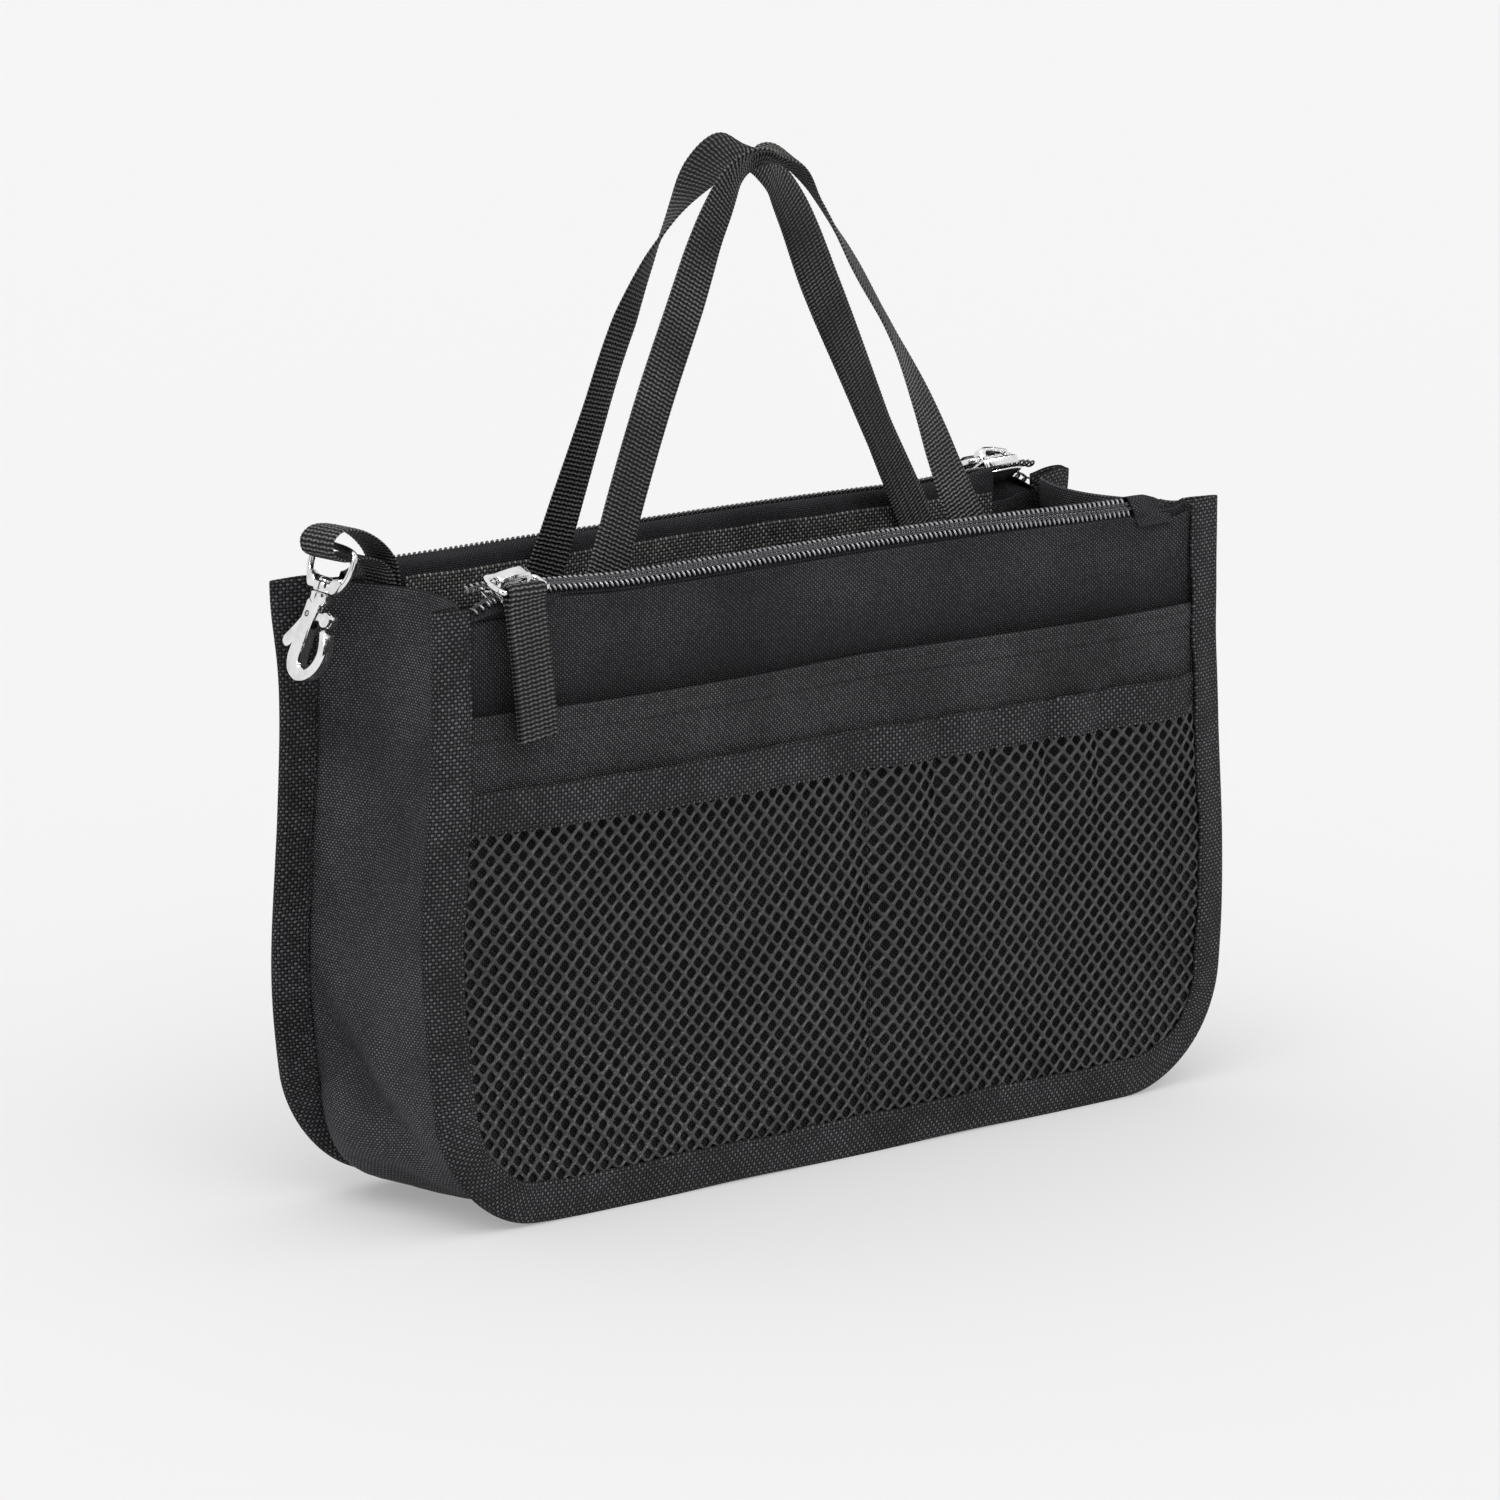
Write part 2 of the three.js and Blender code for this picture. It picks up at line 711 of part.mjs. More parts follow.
function planOutline(plan) {
  const near = plan.map(([x, half]) => new THREE.Vector2(x, -half));
  const far = plan.map(([x, half]) => new THREE.Vector2(x, half)).reverse();
  return [...near, ...far];
}

// The slider: two wings joined by the post that parts the rows, side rails on the upper wing, and
// a crown whose two feet carry the pull loop's bar.
function sliderGeometry() {
  const prism = (outline, low, high) => toSolid(extrude(outline, high - low).translate(0, 0, low));
  const wide = 8;
  const slot = [
    new THREE.Vector2(sliderMouth - 1, -wide),
    new THREE.Vector2(sliderNose + 1, -wide),
    new THREE.Vector2(sliderNose + 1, wide),
    new THREE.Vector2(sliderMouth - 1, wide),
  ];
  const post = [
    new THREE.Vector2(postPlace - postLength / 2, 0),
    new THREE.Vector2(postPlace, -postWidth / 2),
    new THREE.Vector2(postPlace + postLength / 2, 0),
    new THREE.Vector2(postPlace, postWidth / 2),
  ];
  const low = sliderFloor - wingThickness;
  const high = sliderRoof + wingThickness;
  const plan = new THREE.Shape(planOutline(wingPlan));
  const block = chamferedPlate(plan, high - low, 0.45).translate(0, 0, (low + high) / 2);
  const wings = toSolid(block)
    .subtract(prism(planOutline(channelPlan), sliderFloor, sliderRoof))
    .subtract(prism(slot, sliderFloor, railBottom))
    .add(prism(post, low, high));
  const crownShape = new THREE.Shape();
  crownShape.moveTo(crownStart, sliderRoof + 0.4);
  crownShape.lineTo(crownEnd, sliderRoof + 0.4);
  crownShape.lineTo(crownEnd, crownTop - 1.9);
  crownShape.splineThru([
    new THREE.Vector2(crownEnd - 0.5, crownTop - 0.7),
    new THREE.Vector2(crownEnd - 1.9, crownTop),
    new THREE.Vector2(0.6, crownTop - 0.1),
    new THREE.Vector2(-2.6, crownTop - 0.7),
    new THREE.Vector2(crownStart + 0.4, crownTop - 1.4),
  ]);
  crownShape.lineTo(crownStart, crownTop - 1.9);
  const window = [
    new THREE.Vector2(crownStart + 1.6, high + 0.1),
    new THREE.Vector2(crownEnd - 1.6, high + 0.1),
    new THREE.Vector2(crownEnd - 1.7, crownTop - 1.9),
    new THREE.Vector2(crownEnd - 2.4, crownTop - 1.2),
    new THREE.Vector2(0.6, crownTop - 1.3),
    new THREE.Vector2(crownStart + 2.2, crownTop - 1.9),
    new THREE.Vector2(crownStart + 1.7, crownTop - 2.3),
  ];
  const crown = toSolid(chamferedPlate(crownShape, 2 * crownHalfWidth, 0.6)).subtract(
    prism(window, -crownHalfWidth - 1, crownHalfWidth + 1),
  );
  const bore = cylinder(
    wireRadius + wireClearance,
    crownEnd - crownStart + 4,
    new THREE.Vector3(1, 0, 0),
    new THREE.Vector3(0, 0, crownBar),
    12,
  );
  const upright = toSolid(toGeometry(crown).rotateX(Math.PI / 2));
  return toGeometry(wings.add(upright).subtract(toSolid(bore)));
}

// Places of the pull loop's two bars, by depth and height.
const innerBar = zipPoint(0, crownBar);
const outerBar = innerBar.clone().add(new THREE.Vector2(pullLoopReach, -pullLoopDrop));

// The wire loop that the pull tab hangs on: its inner bar runs through the crown.
function pullLoopGeometry() {
  const reach = outerBar.clone().sub(innerBar);
  const length = reach.length();
  const points = roundedRectangle(pullLoopWidth / 2, 0, length, 1.5, 4).map((p) => {
    const at = innerBar.clone().addScaledVector(reach, p.y / length);
    return new THREE.Vector3(zipPark + p.x, -at.x, at.y);
  });
  const normal = new THREE.Vector3(0, reach.y, reach.x).normalize();
  return wireLoop(points, normal, wireRadius);
}

// The webbing tab, folded round the outer bar and sewn back on itself.
function pullTabGeometry() {
  const eye = wireRadius + wireClearance;
  const gap = 0.05;
  const fold = [];
  for (let i = 0; i <= 6; i++) {
    const angle = THREE.MathUtils.degToRad(-20 + (220 * i) / 6);
    const radius = eye + webbingThickness;
    fold.push(new THREE.Vector2(radius * Math.cos(angle), radius * Math.sin(angle)));
  }
  const outside = [
    new THREE.Vector2(webbingThickness + gap, -pullTabLength),
    new THREE.Vector2(webbingThickness + gap, -3.6),
    ...fold,
    new THREE.Vector2(-webbingThickness - gap, -3.6),
    new THREE.Vector2(-webbingThickness - gap, -pullTabLength),
  ];
  const hole = new THREE.Path().absarc(0, 0, eye, 0, 2 * Math.PI, true);
  const shape = new THREE.Shape(outside);
  shape.holes.push(hole);
  const geometry = clean(
    new THREE.ExtrudeGeometry(shape, { depth: webbingWidth, bevelEnabled: false, curveSegments: 5 }),
  );
  const position = geometry.attributes.position;
  for (let i = 0; i < position.count; i++) {
    const down = Math.min(position.getY(i) + 3, 0);
    const x = zipPark + webbingWidth / 2 - position.getZ(i) - down * Math.tan(pullTabSlant);
    position.setXYZ(i, x, -(outerBar.x + position.getX(i)), outerBar.y + position.getY(i));
  }
  return geometry;
}

// Handles

// The middle of the webbing in the plane of the handle, from the left end over the crest: places
// along the bag, and heights over its top edge.
const handleRoute = new THREE.CatmullRomCurve3(
  [
    [-93, -34],
    [-77, -6],
    [-63.5, 19],
    [-49.5, 45],
    [-35.5, 70],
    [-21, 95],
    [-10, 107],
    [0, handleRise],
    [9, 105.5],
    [19, 93],
    [32, 67],
    [43, 40],
    [52, 14],
    [60, -6],
    [71, -34],
  ].map(([x, rise]) => new THREE.Vector3(x, 0, bagHeight + rise)),
  false,
  "centripetal",
);

function handleDepthAt(z) {
  const share = Math.max(z - handleLeanStart, 0) / (handleCrest - handleLeanStart);
  return THREE.MathUtils.lerp(handleDepth, handleCrestDepth, share);
}

// The webbing lies flat on the wall at its ends and turns edge-on to it at the crest, where its outer
// face is on top.
function handleSection(t) {
  const at = (u) => {
    const p = handleRoute.getPointAt(u);
    return new THREE.Vector3(p.x, -handleDepthAt(p.z), p.z);
  };
  const point = at(t);
  const along = at(Math.min(t + 0.004, 1)).sub(at(Math.max(t - 0.004, 0))).normalize();
  const rise = Math.max(point.z - handleTwistStart, 0) / (handleCrest - handleTwistStart);
  const twist = (Math.PI / 2) * rise * rise;
  const left = t < crestShare;
  const flat = new THREE.Vector3(left ? 1 : -1, 0, 0);
  const edgeOn = new THREE.Vector3(0, -1, 0);
  const wish = flat.multiplyScalar(Math.cos(twist)).addScaledVector(edgeOn, Math.sin(twist));
  const width = wish.addScaledVector(along, -wish.dot(along)).normalize();
  const normal = new THREE.Vector3().crossVectors(along, width);
  return [
    [-1, -1],
    [1, -1],
    [1, 1],
    [-1, 1],
  ].map(([w, n]) =>
    point
      .clone()
      .addScaledVector(width, (w * webbingWidth) / 2)
      .addScaledVector(normal, (n * webbingThickness) / 2),
  );
}

// The share of the route's length at a height, between an end and the crest.
function routeShare(height, end) {
  let low = end;
  let high = crestShare;
  for (let i = 0; i < 30; i++) {
    const middle = (low + high) / 2;
    const above = handleRoute.getPointAt(middle).z > height;
    if (above) high = middle;
    else low = middle;
  }
  return (low + high) / 2;
}

let crestShare = 0.5;
for (let t = 0.3; t < 0.8; t += 0.002) {
  if (handleRoute.getPointAt(t).z > handleRoute.getPointAt(crestShare).z) crestShare = t;
}

function webbingGeometry(from, to, steps) {
  const sections = [];
  for (let i = 0; i <= steps; i++) sections.push(handleSection(from + ((to - from) * i) / steps));
  const flat = [
    new THREE.Vector2(0, 0),
    new THREE.Vector2(1, 0),
    new THREE.Vector2(1, 1),
    new THREE.Vector2(0, 1),
  ];
  return loft(sections, flat);
}

function handleGeometries() {
  const gap = 0.35; // along the webbing at each bend line
  const leftBelow = routeShare(handleBend - gap, 0);
  const leftAbove = routeShare(handleBend + gap, 0);
  const rightBelow = routeShare(handleBend - gap, 1);
  const rightAbove = routeShare(handleBend + gap, 1);
  return {
    handle: webbingGeometry(leftAbove, rightAbove, handleSteps),
    handle_end_left: webbingGeometry(0, leftBelow, 4),
    handle_end_right: webbingGeometry(rightBelow, 1, 4),
  };
}

// Assembly of one wall, built as the front wall

function buildWall(side, lowerPocket) {
  const wall = new THREE.Group();
  const add = (name, geometry, material) => {
    const mesh = new THREE.Mesh(geometry, material());
    mesh.name = side + "_" + name;
    wall.add(mesh);
  };
  const tapeHalf = bagWidth / 2 - bindingFrontWidth - layerGap;
  const innerHalf = innerPocketWidth / 2;
  const flat = (face) => () => face;

  add("binding", bindingGeometry(), materials.binding);
  add(
    "outer_panel",
    fillOut(cutSheet({ inset: seamAllowance, top: panelTop, more: [70, 105, bulgeHeight], faceAt: flat(panelFace) })),
    materials.cloth,
  );
  add(
    "slip_pocket",
    fillOut(cutSheet({ inset: seamAllowance, top: slipPocketTop, more: [70, 105], faceAt: flat(slipFace) })),
    materials.cloth,
  );
  if (lowerPocket === "net") {
    add("net_pocket", netGeometry(), materials.net);
  } else {
    const plain = { inset: seamAllowance, top: netPocketTop, more: [70, 90], faceAt: flat(netFace) };
    add("lower_pocket", fillOut(cutSheet(plain)), materials.cloth);
  }
  add(
    lowerPocket === "net" ? "net_pocket_tape" : "lower_pocket_tape",
    pocketTapeGeometry(
      netPocketTop + layerGap,
      tapeHalf,
      netFace + pocketTapeThickness - clothThickness,
      lowerPocket === "net" ? netTopBulge : () => 0,
    ),
    materials.binding,
  );
  add("inner_wall", innerWallGeometry(), materials.cloth);
  add(
    "inner_pocket",
    box(
      new THREE.Vector3(-innerHalf, -innerPocketFace, innerPocketBottom),
      new THREE.Vector3(innerHalf, -innerPocketFace + clothThickness, innerPocketTop),
    ),
    materials.cloth,
  );
  add(
    "inner_pocket_tape",
    box(
      new THREE.Vector3(-innerHalf, -innerPocketFace, innerPocketTop + layerGap),
      new THREE.Vector3(innerHalf, -innerPocketFace + clothThickness, innerPocketTop + innerTapeHeight),
    ),
    materials.binding,
  );

  add("outer_zip_tape", outerTapeGeometry(), materials.webbing);
  add("inner_zip_tape", innerTapeGeometry(), materials.webbing);
  add("outer_zip_teeth", teethGeometry(-1), materials.coil);
  add("inner_zip_teeth", teethGeometry(1), materials.coil);
  add("zip_end_tab", endTabGeometry(), materials.cloth);
  add("pull_loop", pullLoopGeometry(), materials.chrome);
  add("pull_tab", pullTabGeometry(), materials.webbing);

  const slider = new THREE.Mesh(sliderGeometry(), materials.chrome());
  slider.name = side + "_zip_slider";
  slider.position.set(zipPark, -zipDepth, zipHeight);
  slider.rotation.x = zipTilt;
  wall.add(slider);

  for (const [name, geometry] of Object.entries(handleGeometries())) {
    add(name, geometry, materials.webbing);
  }
  return wall;
}

// Snap hook

// The webbing loop, sewn inside the gusset's top edge: both ends side by side, and the bight
// thrown outwards round the ring's bar. Its path is given from the middle of that bar.
function hookStrapGeometry() {
  const path = smoothPath(
    [
      [14.7, -24.4],
      [14.7, -10.3],
      [11.9, -5.0],
      [5.2, -2.5],
      [-1, -2.6],
      [-5.3, -0.6],
      [-5.8, 2.9],
      [-2.6, 5.5],
      [3.6, 5.0],
      [10.2, 1.5],
      [14.9, -3.9],
      [16.2, -10.3],
      [16.2, -24.4],
    ].map(([x, z]) => new THREE.Vector2(ringBar.x + x, ringBar.z + z)),
    36,
  );
  const outline = ribbonOutline(path, webbingThickness);
  return extrude(outline, webbingWidth)
    .rotateX(Math.PI / 2)
    .translate(0, hookStrapPlace + webbingWidth / 2, 0);
}

// The ring, in the hook's own frame: X across the strap, Y along the hook's axis with the bar at 0,
// Z through the hook's thickness.
function ringGeometry() {
  const half = [
    [ringTopHalf - 1.1, 0],
    [ringTopHalf, -1.0],
    [ringTopHalf + 0.4, -3.6],
    [ringTopHalf, -6.6],
    [ringBottomHalf + 0.9, -ringDrop + 1.4],
    [ringBottomHalf - 0.7, -ringDrop],
  ];
  const points = [...half, ...half.map(([x, y]) => [-x, y]).reverse()];
  const curve = new THREE.CatmullRomCurve3(
    points.map(([x, y]) => new THREE.Vector3(x, y, 0)),
    true,
    "centripetal",
  );
  const loop = curve.getSpacedPoints(44).slice(0, -1);
  const ring = toSolid(wireLoop(loop, new THREE.Vector3(0, 0, 1), ringWire));
  const along = new THREE.Vector3(0, 1, 0);
  const at = new THREE.Vector3(0, -ringDrop, 0);
  const boss = toSolid(cylinder(bossRadius, bossHeight, along, at));
  const headRoom = postHeadRadius + 0.7;
  const rightHalf = [
    [headRoom, bossHeight / 2],
    [headRoom + 1, saddleShoulder],
    [ringBottomHalf + 1.4, saddleShoulder + 0.9],
    [ringBottomHalf + 1.9, saddleShoulder - 0.3],
    [ringBottomHalf + 0.4, -bossHeight / 2 + 0.7],
    [ringBottomHalf - 0.5, -bossHeight / 2],
  ].map(([x, y]) => new THREE.Vector2(x, y - ringDrop));
  const leftHalf = rightHalf.map((p) => new THREE.Vector2(-p.x, p.y)).reverse();
  const outline = new THREE.Shape([...rightHalf, ...leftHalf]);
  const saddle = toSolid(chamferedPlate(outline, saddleThickness, 0.5));
  const bore = toSolid(cylinder(swivelRadius + swivelClearance, bossHeight + 2, along, at));
  return toGeometry(ring.add(boss).add(saddle).subtract(bore));
}

// The swivel post: a peened head inside the ring, and a shank down into the hook's neck.
function swivelPostGeometry() {
  const top = -ringDrop + bossHeight / 2 + swivelClearance;
  const profile = [
    [0, top + 1.5],
    [0.7 * postHeadRadius, top + 1.2],
    [postHeadRadius, top + 0.5],
    [postHeadRadius, top],
    [swivelRadius, top],
    [swivelRadius, neckTop - socketDepth + swivelClearance],
    [0, neckTop - socketDepth + swivelClearance],
  ].map(([r, y]) => new THREE.Vector2(r, y));
  return new THREE.LatheGeometry(profile.reverse(), 20);
}

const neckTop = -ringDrop - bossHeight / 2 - swivelClearance;
const hookTop = -ringDrop;

// The hook: neck, spine and claw in one cast piece. Its profile lies across (x) and along (y) the
// hook's axis; the spine is a channel that holds the gate.
function hookBodyGeometry() {
  const at = (x, y) => new THREE.Vector2(x, hookTop + y);
  const shape = new THREE.Shape();
  shape.moveTo(...at(1.6, -2.6).toArray());
  shape.lineTo(...at(-2.4, -2.6).toArray());
  shape.lineTo(...at(-3.6, -4.4).toArray());
  shape.splineThru([at(-4.0, -9.6), at(-4.6, -16), at(-4.8, -20.5), at(-3.2, -24.2), at(0.6, -26)]);
  shape.splineThru([at(4.4, -25), at(7.8, -22), at(9.4, -17.6), at(8.8, -13.6), at(7.6, -11.4)]);
  shape.lineTo(...at(6.2, -10.8).toArray());
  shape.lineTo(...at(4.8, -11.4).toArray());
  shape.splineThru([at(5.9, -14.2), at(6.4, -17.6), at(5.2, -20.6), at(2.9, -22.4), at(0.9, -21.6)]);
  shape.splineThru([at(0.35, -19.4), at(0.5, -12), at(1.3, -6.4), at(1.6, -4.2)]);
  shape.closePath();
  const plate = toSolid(chamferedPlate(shape, hookThickness, 0.6));
  const neckBottom = hookTop - 4.9;
  const neck = toSolid(
    new THREE.LatheGeometry(
      [
        [0, neckBottom],
        [2.3, neckBottom],
        [3.2, neckBottom + 1.2],
        [3.2, neckTop - 0.5],
        [2.7, neckTop],
        [0, neckTop],
      ].map(([r, y]) => new THREE.Vector2(r, y)),
      20,
    ),
  );
  const socket = toSolid(
    cylinder(
      swivelRadius + swivelClearance,
      2 * socketDepth,
      new THREE.Vector3(0, 1, 0),
      new THREE.Vector3(0, neckTop, 0),
    ),
  );
  const halfSlot = gateSlot / 2;
  const channel = toSolid(
    box(
      new THREE.Vector3(-12, hookTop - 20.4, -halfSlot),
      new THREE.Vector3(-0.6, hookTop - 5.3, halfSlot),
    ),
  );
  const gateWindow = toSolid(
    box(
      new THREE.Vector3(-4, hookTop - 11.8, -halfSlot),
      new THREE.Vector3(4, hookTop - 5.3, halfSlot),
    ),
  );
  const pinHole = toSolid(
    cylinder(
      gatePinRadius + 0.3,
      hookThickness + 4,
      new THREE.Vector3(0, 0, 1),
      new THREE.Vector3(gatePivot.x, hookTop + gatePivot.y, 0),
      12,
    ),
  );
  return toGeometry(
    plate.add(neck).subtract(socket).subtract(channel).subtract(gateWindow).subtract(pinHole),
  );
}

// The gate: an eye on the pin, a thumb lever outside the spine and a nose that closes the claw.
function gateGeometry() {
  const at = (x, y) => new THREE.Vector2(x, hookTop + y);
  const shape = new THREE.Shape();
  shape.moveTo(...at(-1.7, -6.2).toArray());
  shape.splineThru([at(0.6, -6.6), at(3.4, -6.6), at(4.6, -6.1)]);
  shape.splineThru([at(6.4, -6.3), at(7.6, -8.1), at(7.0, -9.8), at(5.6, -10.4)]);
  shape.splineThru([at(4.0, -10.0), at(2.6, -9.2), at(0.8, -9.1), at(-0.9, -9.9)]);
  shape.splineThru([at(-3.4, -12.6), at(-5.4, -16.2), at(-6.4, -17.5)]);
  shape.splineThru([at(-7.9, -18.2), at(-9.4, -17.4), at(-9.6, -15.8), at(-8.9, -14.7)]);
  shape.splineThru([at(-6.4, -11.4), at(-3.9, -7.6), at(-3.1, -6.7)]);
  shape.closePath();
  const lever = toSolid(chamferedPlate(shape, gateThickness, 0.3));
  const noseCenter = new THREE.Vector3(5.5, hookTop - 8.25, 0);
  const nose = toSolid(cylinder(2.0, 3.2, new THREE.Vector3(0, 0, 1), noseCenter, 16));
  const eye = cylinder(
    gatePinRadius + 0.3,
    gateThickness + 4,
    new THREE.Vector3(0, 0, 1),
    new THREE.Vector3(gatePivot.x, hookTop + gatePivot.y, 0),
    12,
  );
  return toGeometry(lever.add(nose).subtract(toSolid(eye)));
}

function gatePinGeometry() {
  return cylinder(
    gatePinRadius,
    hookThickness,
    new THREE.Vector3(0, 0, 1),
    new THREE.Vector3(gatePivot.x, hookTop + gatePivot.y, 0),
    12,
  );
}

// The leaf spring under the lever: one leg lies on the floor of the channel, the other leg pushes
// the lever out.
function gateSpringGeometry() {
  const path = [
    [-0.95, -13.2],
    [-0.95, -18.2],
    [-1.5, -19.2],
    [-2.2, -18.6],
    [-3.3, -14.0],
  ].map(([x, y]) => new THREE.Vector2(x, hookTop + y));
  const outline = ribbonOutline(path, 0.3);
  return extrude(outline, gateThickness).translate(0, 0, -gateThickness / 2);
}

function buildHook() {
  const hook = new THREE.Group();
  const add = (name, geometry, material) => {
    const mesh = new THREE.Mesh(geometry, material());
    mesh.name = name;
    hook.add(mesh);
  };
  add("hook_ring", ringGeometry(), materials.chrome);
  add("swivel_post", swivelPostGeometry(), materials.chrome);
  add("hook_body", hookBodyGeometry(), materials.chrome);
  add("hook_gate", gateGeometry(), materials.chrome);
  add("gate_pin", gatePinGeometry(), materials.steel);
  add("gate_spring", gateSpringGeometry(), materials.steel);

  // Own frame to bag: X across the strap runs to the front (-Y), Y is up, Z faces the bag's side.
  const upright = new THREE.Matrix4().makeBasis(
    new THREE.Vector3(0, -1, 0),
    new THREE.Vector3(0, 0, 1),
    new THREE.Vector3(-1, 0, 0),
  );
  const lean = new THREE.Matrix4().makeRotationY(ringLean);
  const tilt = new THREE.Matrix4().makeRotationX(ringTilt);
  const place = new THREE.Matrix4().makeTranslation(ringBar.x, ringBar.y, ringBar.z);
  hook.applyMatrix4(place.multiply(tilt).multiply(lean).multiply(upright));
  return hook;
}

const bag = new THREE.Group();
bag.name = "toiletry_bag";

const gusset = new THREE.Mesh(gussetGeometry(), materials.cloth());
gusset.name = "gusset";
bag.add(gusset);

const hookStrap = new THREE.Mesh(hookStrapGeometry(), materials.webbing());
hookStrap.name = "hook_strap";
bag.add(hookStrap);
bag.add(buildHook());

bag.add(buildWall("front", "net"));
const rearWall = buildWall("rear", "plain");
rearWall.rotation.z = Math.PI;
bag.add(rearWall);

export default bag;
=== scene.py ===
# %% [markdown]
# A black toiletry bag, made in code
# The bag is two flat zipped walls joined by one strip of cloth, the gusset, with two webbing handles,
# pockets outside and inside, and a small snap hook on a webbing loop. The hard pieces come from the
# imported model, which is the fixed frame of this scene. Everything soft is made here as a thin, folded
# and slightly waving sheet, because flat plates with sharp edges never look like cloth.

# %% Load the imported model
import math

import bmesh
import bpy
import numpy as np
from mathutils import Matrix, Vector


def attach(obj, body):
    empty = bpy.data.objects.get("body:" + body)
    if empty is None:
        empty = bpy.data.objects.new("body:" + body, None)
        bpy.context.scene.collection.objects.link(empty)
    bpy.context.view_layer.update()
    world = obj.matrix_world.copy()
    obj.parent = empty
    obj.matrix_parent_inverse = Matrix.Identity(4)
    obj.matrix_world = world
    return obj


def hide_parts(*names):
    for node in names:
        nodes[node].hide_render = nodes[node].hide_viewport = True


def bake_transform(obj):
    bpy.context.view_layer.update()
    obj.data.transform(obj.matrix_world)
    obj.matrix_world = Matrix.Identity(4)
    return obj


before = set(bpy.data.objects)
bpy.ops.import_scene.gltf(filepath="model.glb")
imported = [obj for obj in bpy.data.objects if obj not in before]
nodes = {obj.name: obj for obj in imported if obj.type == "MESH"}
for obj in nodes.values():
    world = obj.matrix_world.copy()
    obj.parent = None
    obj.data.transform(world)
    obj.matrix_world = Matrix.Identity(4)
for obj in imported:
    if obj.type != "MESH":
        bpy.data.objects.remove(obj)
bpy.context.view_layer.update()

scene = bpy.context.scene
print("nodes of the frame:", len(nodes))

# %% [markdown]
# Sizes of the bag
# These repeat the sizes that the solids were made with, in millimetres, so that every sheet of cloth
# lies where its solid lies. The front wall faces -Y, and depths are measured from the middle of the
# bag towards that wall. A wall is a stack of layers 0.3 mm apart, which its binding holds together.

# %% Sizes in millimetres
MM = 0.001
SIDES = (("front", False), ("rear", True))
WIDTH, HEIGHT, CORNER = 288.0, 171.0, 34.0
BULGE, BULGE_TOP = 3.8, 0.82 * HEIGHT
BINDING_FACE, NET_FACE, SLIP_FACE, PANEL_FACE = 35.4, 34.5, 33.7, 32.9
WALL_EDGE_FACE, FLANGE_FACE, BINDING_BACK, WALL_FACE, POCKET_FACE = 31.3, 30.5, 29.1, 24.4, 23.6
PANEL_TOP, SLIP_TOP, NET_TOP = 166.0, 141.5, 109.44
FRONT_LEG, REAR_LEG = 12.0, 10.5
ZIP_DEPTH, ZIP_HEIGHT, ZIP_TILT = 30.5, 172.6, math.radians(30)
CHAIN_END, ZIP_PARK = 110.5, -117.0
PEN_LOOPS = (7.6, 33.0, 54.5, 74.8, 94.2)
SEWN_HALF, SLIP_SEAM = 132.0, 7.2
CELL_X, CELL_Z = 5.1, 5.4
CLOTH, HEM, SHEET_INSET, EDGE_MIDDLE = 0.5, 0.45, 2.4, 32.25

# %% [markdown]
# Helpers for finishes
# A finish is a tree of nodes, and long trees are hard to read as single nodes and links. So one
# output of a node is called a flow here, and sums and products of flows make the math nodes.

# %% Flows and nodes
class Flow:
    """One output of a node. Sums, products and powers of flows make the math nodes for them."""

    def __init__(self, tree, socket):
        self.tree, self.socket = tree, socket

    def __add__(self, other):
        return reckon("ADD", self, other)

    def __sub__(self, other):
        return reckon("SUBTRACT", self, other)

    def __rsub__(self, other):
        return reckon("SUBTRACT", other, self)

    def __mul__(self, other):
        return reckon("MULTIPLY", self, other)

    def __truediv__(self, other):
        return reckon("DIVIDE", self, other)

    def __pow__(self, other):
        return reckon("POWER", self, other)

    __radd__, __rmul__ = __add__, __mul__

    def noise(self, scale, detail=2.0, roughness=0.5):
        inputs = {"Vector": self, "Scale": scale, "Detail": detail, "Roughness": roughness}
        return new_node(self.tree, "ShaderNodeTexNoise", inputs)[0]

    def mapped(self, low, high, to_low=0.0, to_high=1.0):
        inputs = {"Value": self, "From Min": low, "From Max": high, "To Min": to_low, "To Max": to_high}
        return new_node(self.tree, "ShaderNodeMapRange", inputs)[0]

    def parts(self):
        return new_node(self.tree, "ShaderNodeSeparateXYZ", {0: self})


def feed(value, socket):
    """A flow is linked to a socket, and a number or a colour is set on it."""
    if isinstance(value, Flow):
        value.tree.links.new(value.socket, socket)
    else:
        socket.default_value = (*value, 1) if socket.type == "RGBA" else value


def fill(node, **values):
    """Feeds inputs by their names, with an underscore for each space."""
    for label, value in values.items():
        feed(value, node.inputs[label.replace("_", " ")])


def new_node(tree, kind, inputs, **settings):
    node = tree.nodes.new(kind)
    for name, value in settings.items():
        setattr(node, name, value)
    for label, value in inputs.items():
        feed(value, node.inputs[label])
    return [Flow(tree, socket) for socket in node.outputs]


def reckon(operation, *values):
    tree = next(value.tree for value in values if isinstance(value, Flow))
    return new_node(tree, "ShaderNodeMath", dict(enumerate(values)), operation=operation)[0]


def start_paint(name):
    paint = bpy.data.materials.new(name)
    paint.use_nodes = True
    return paint, paint.node_tree.nodes["Principled BSDF"]


def add(name, data):
    thing = bpy.data.objects.new(name, data)
    scene.collection.objects.link(thing)
    return thing


# %% [markdown]
# Camera
# The camera stands where the photograph was taken from: a long lens, a little above the bag and off
# its left front corner. The numbers come from fitting the known sizes of the bag to the photograph.

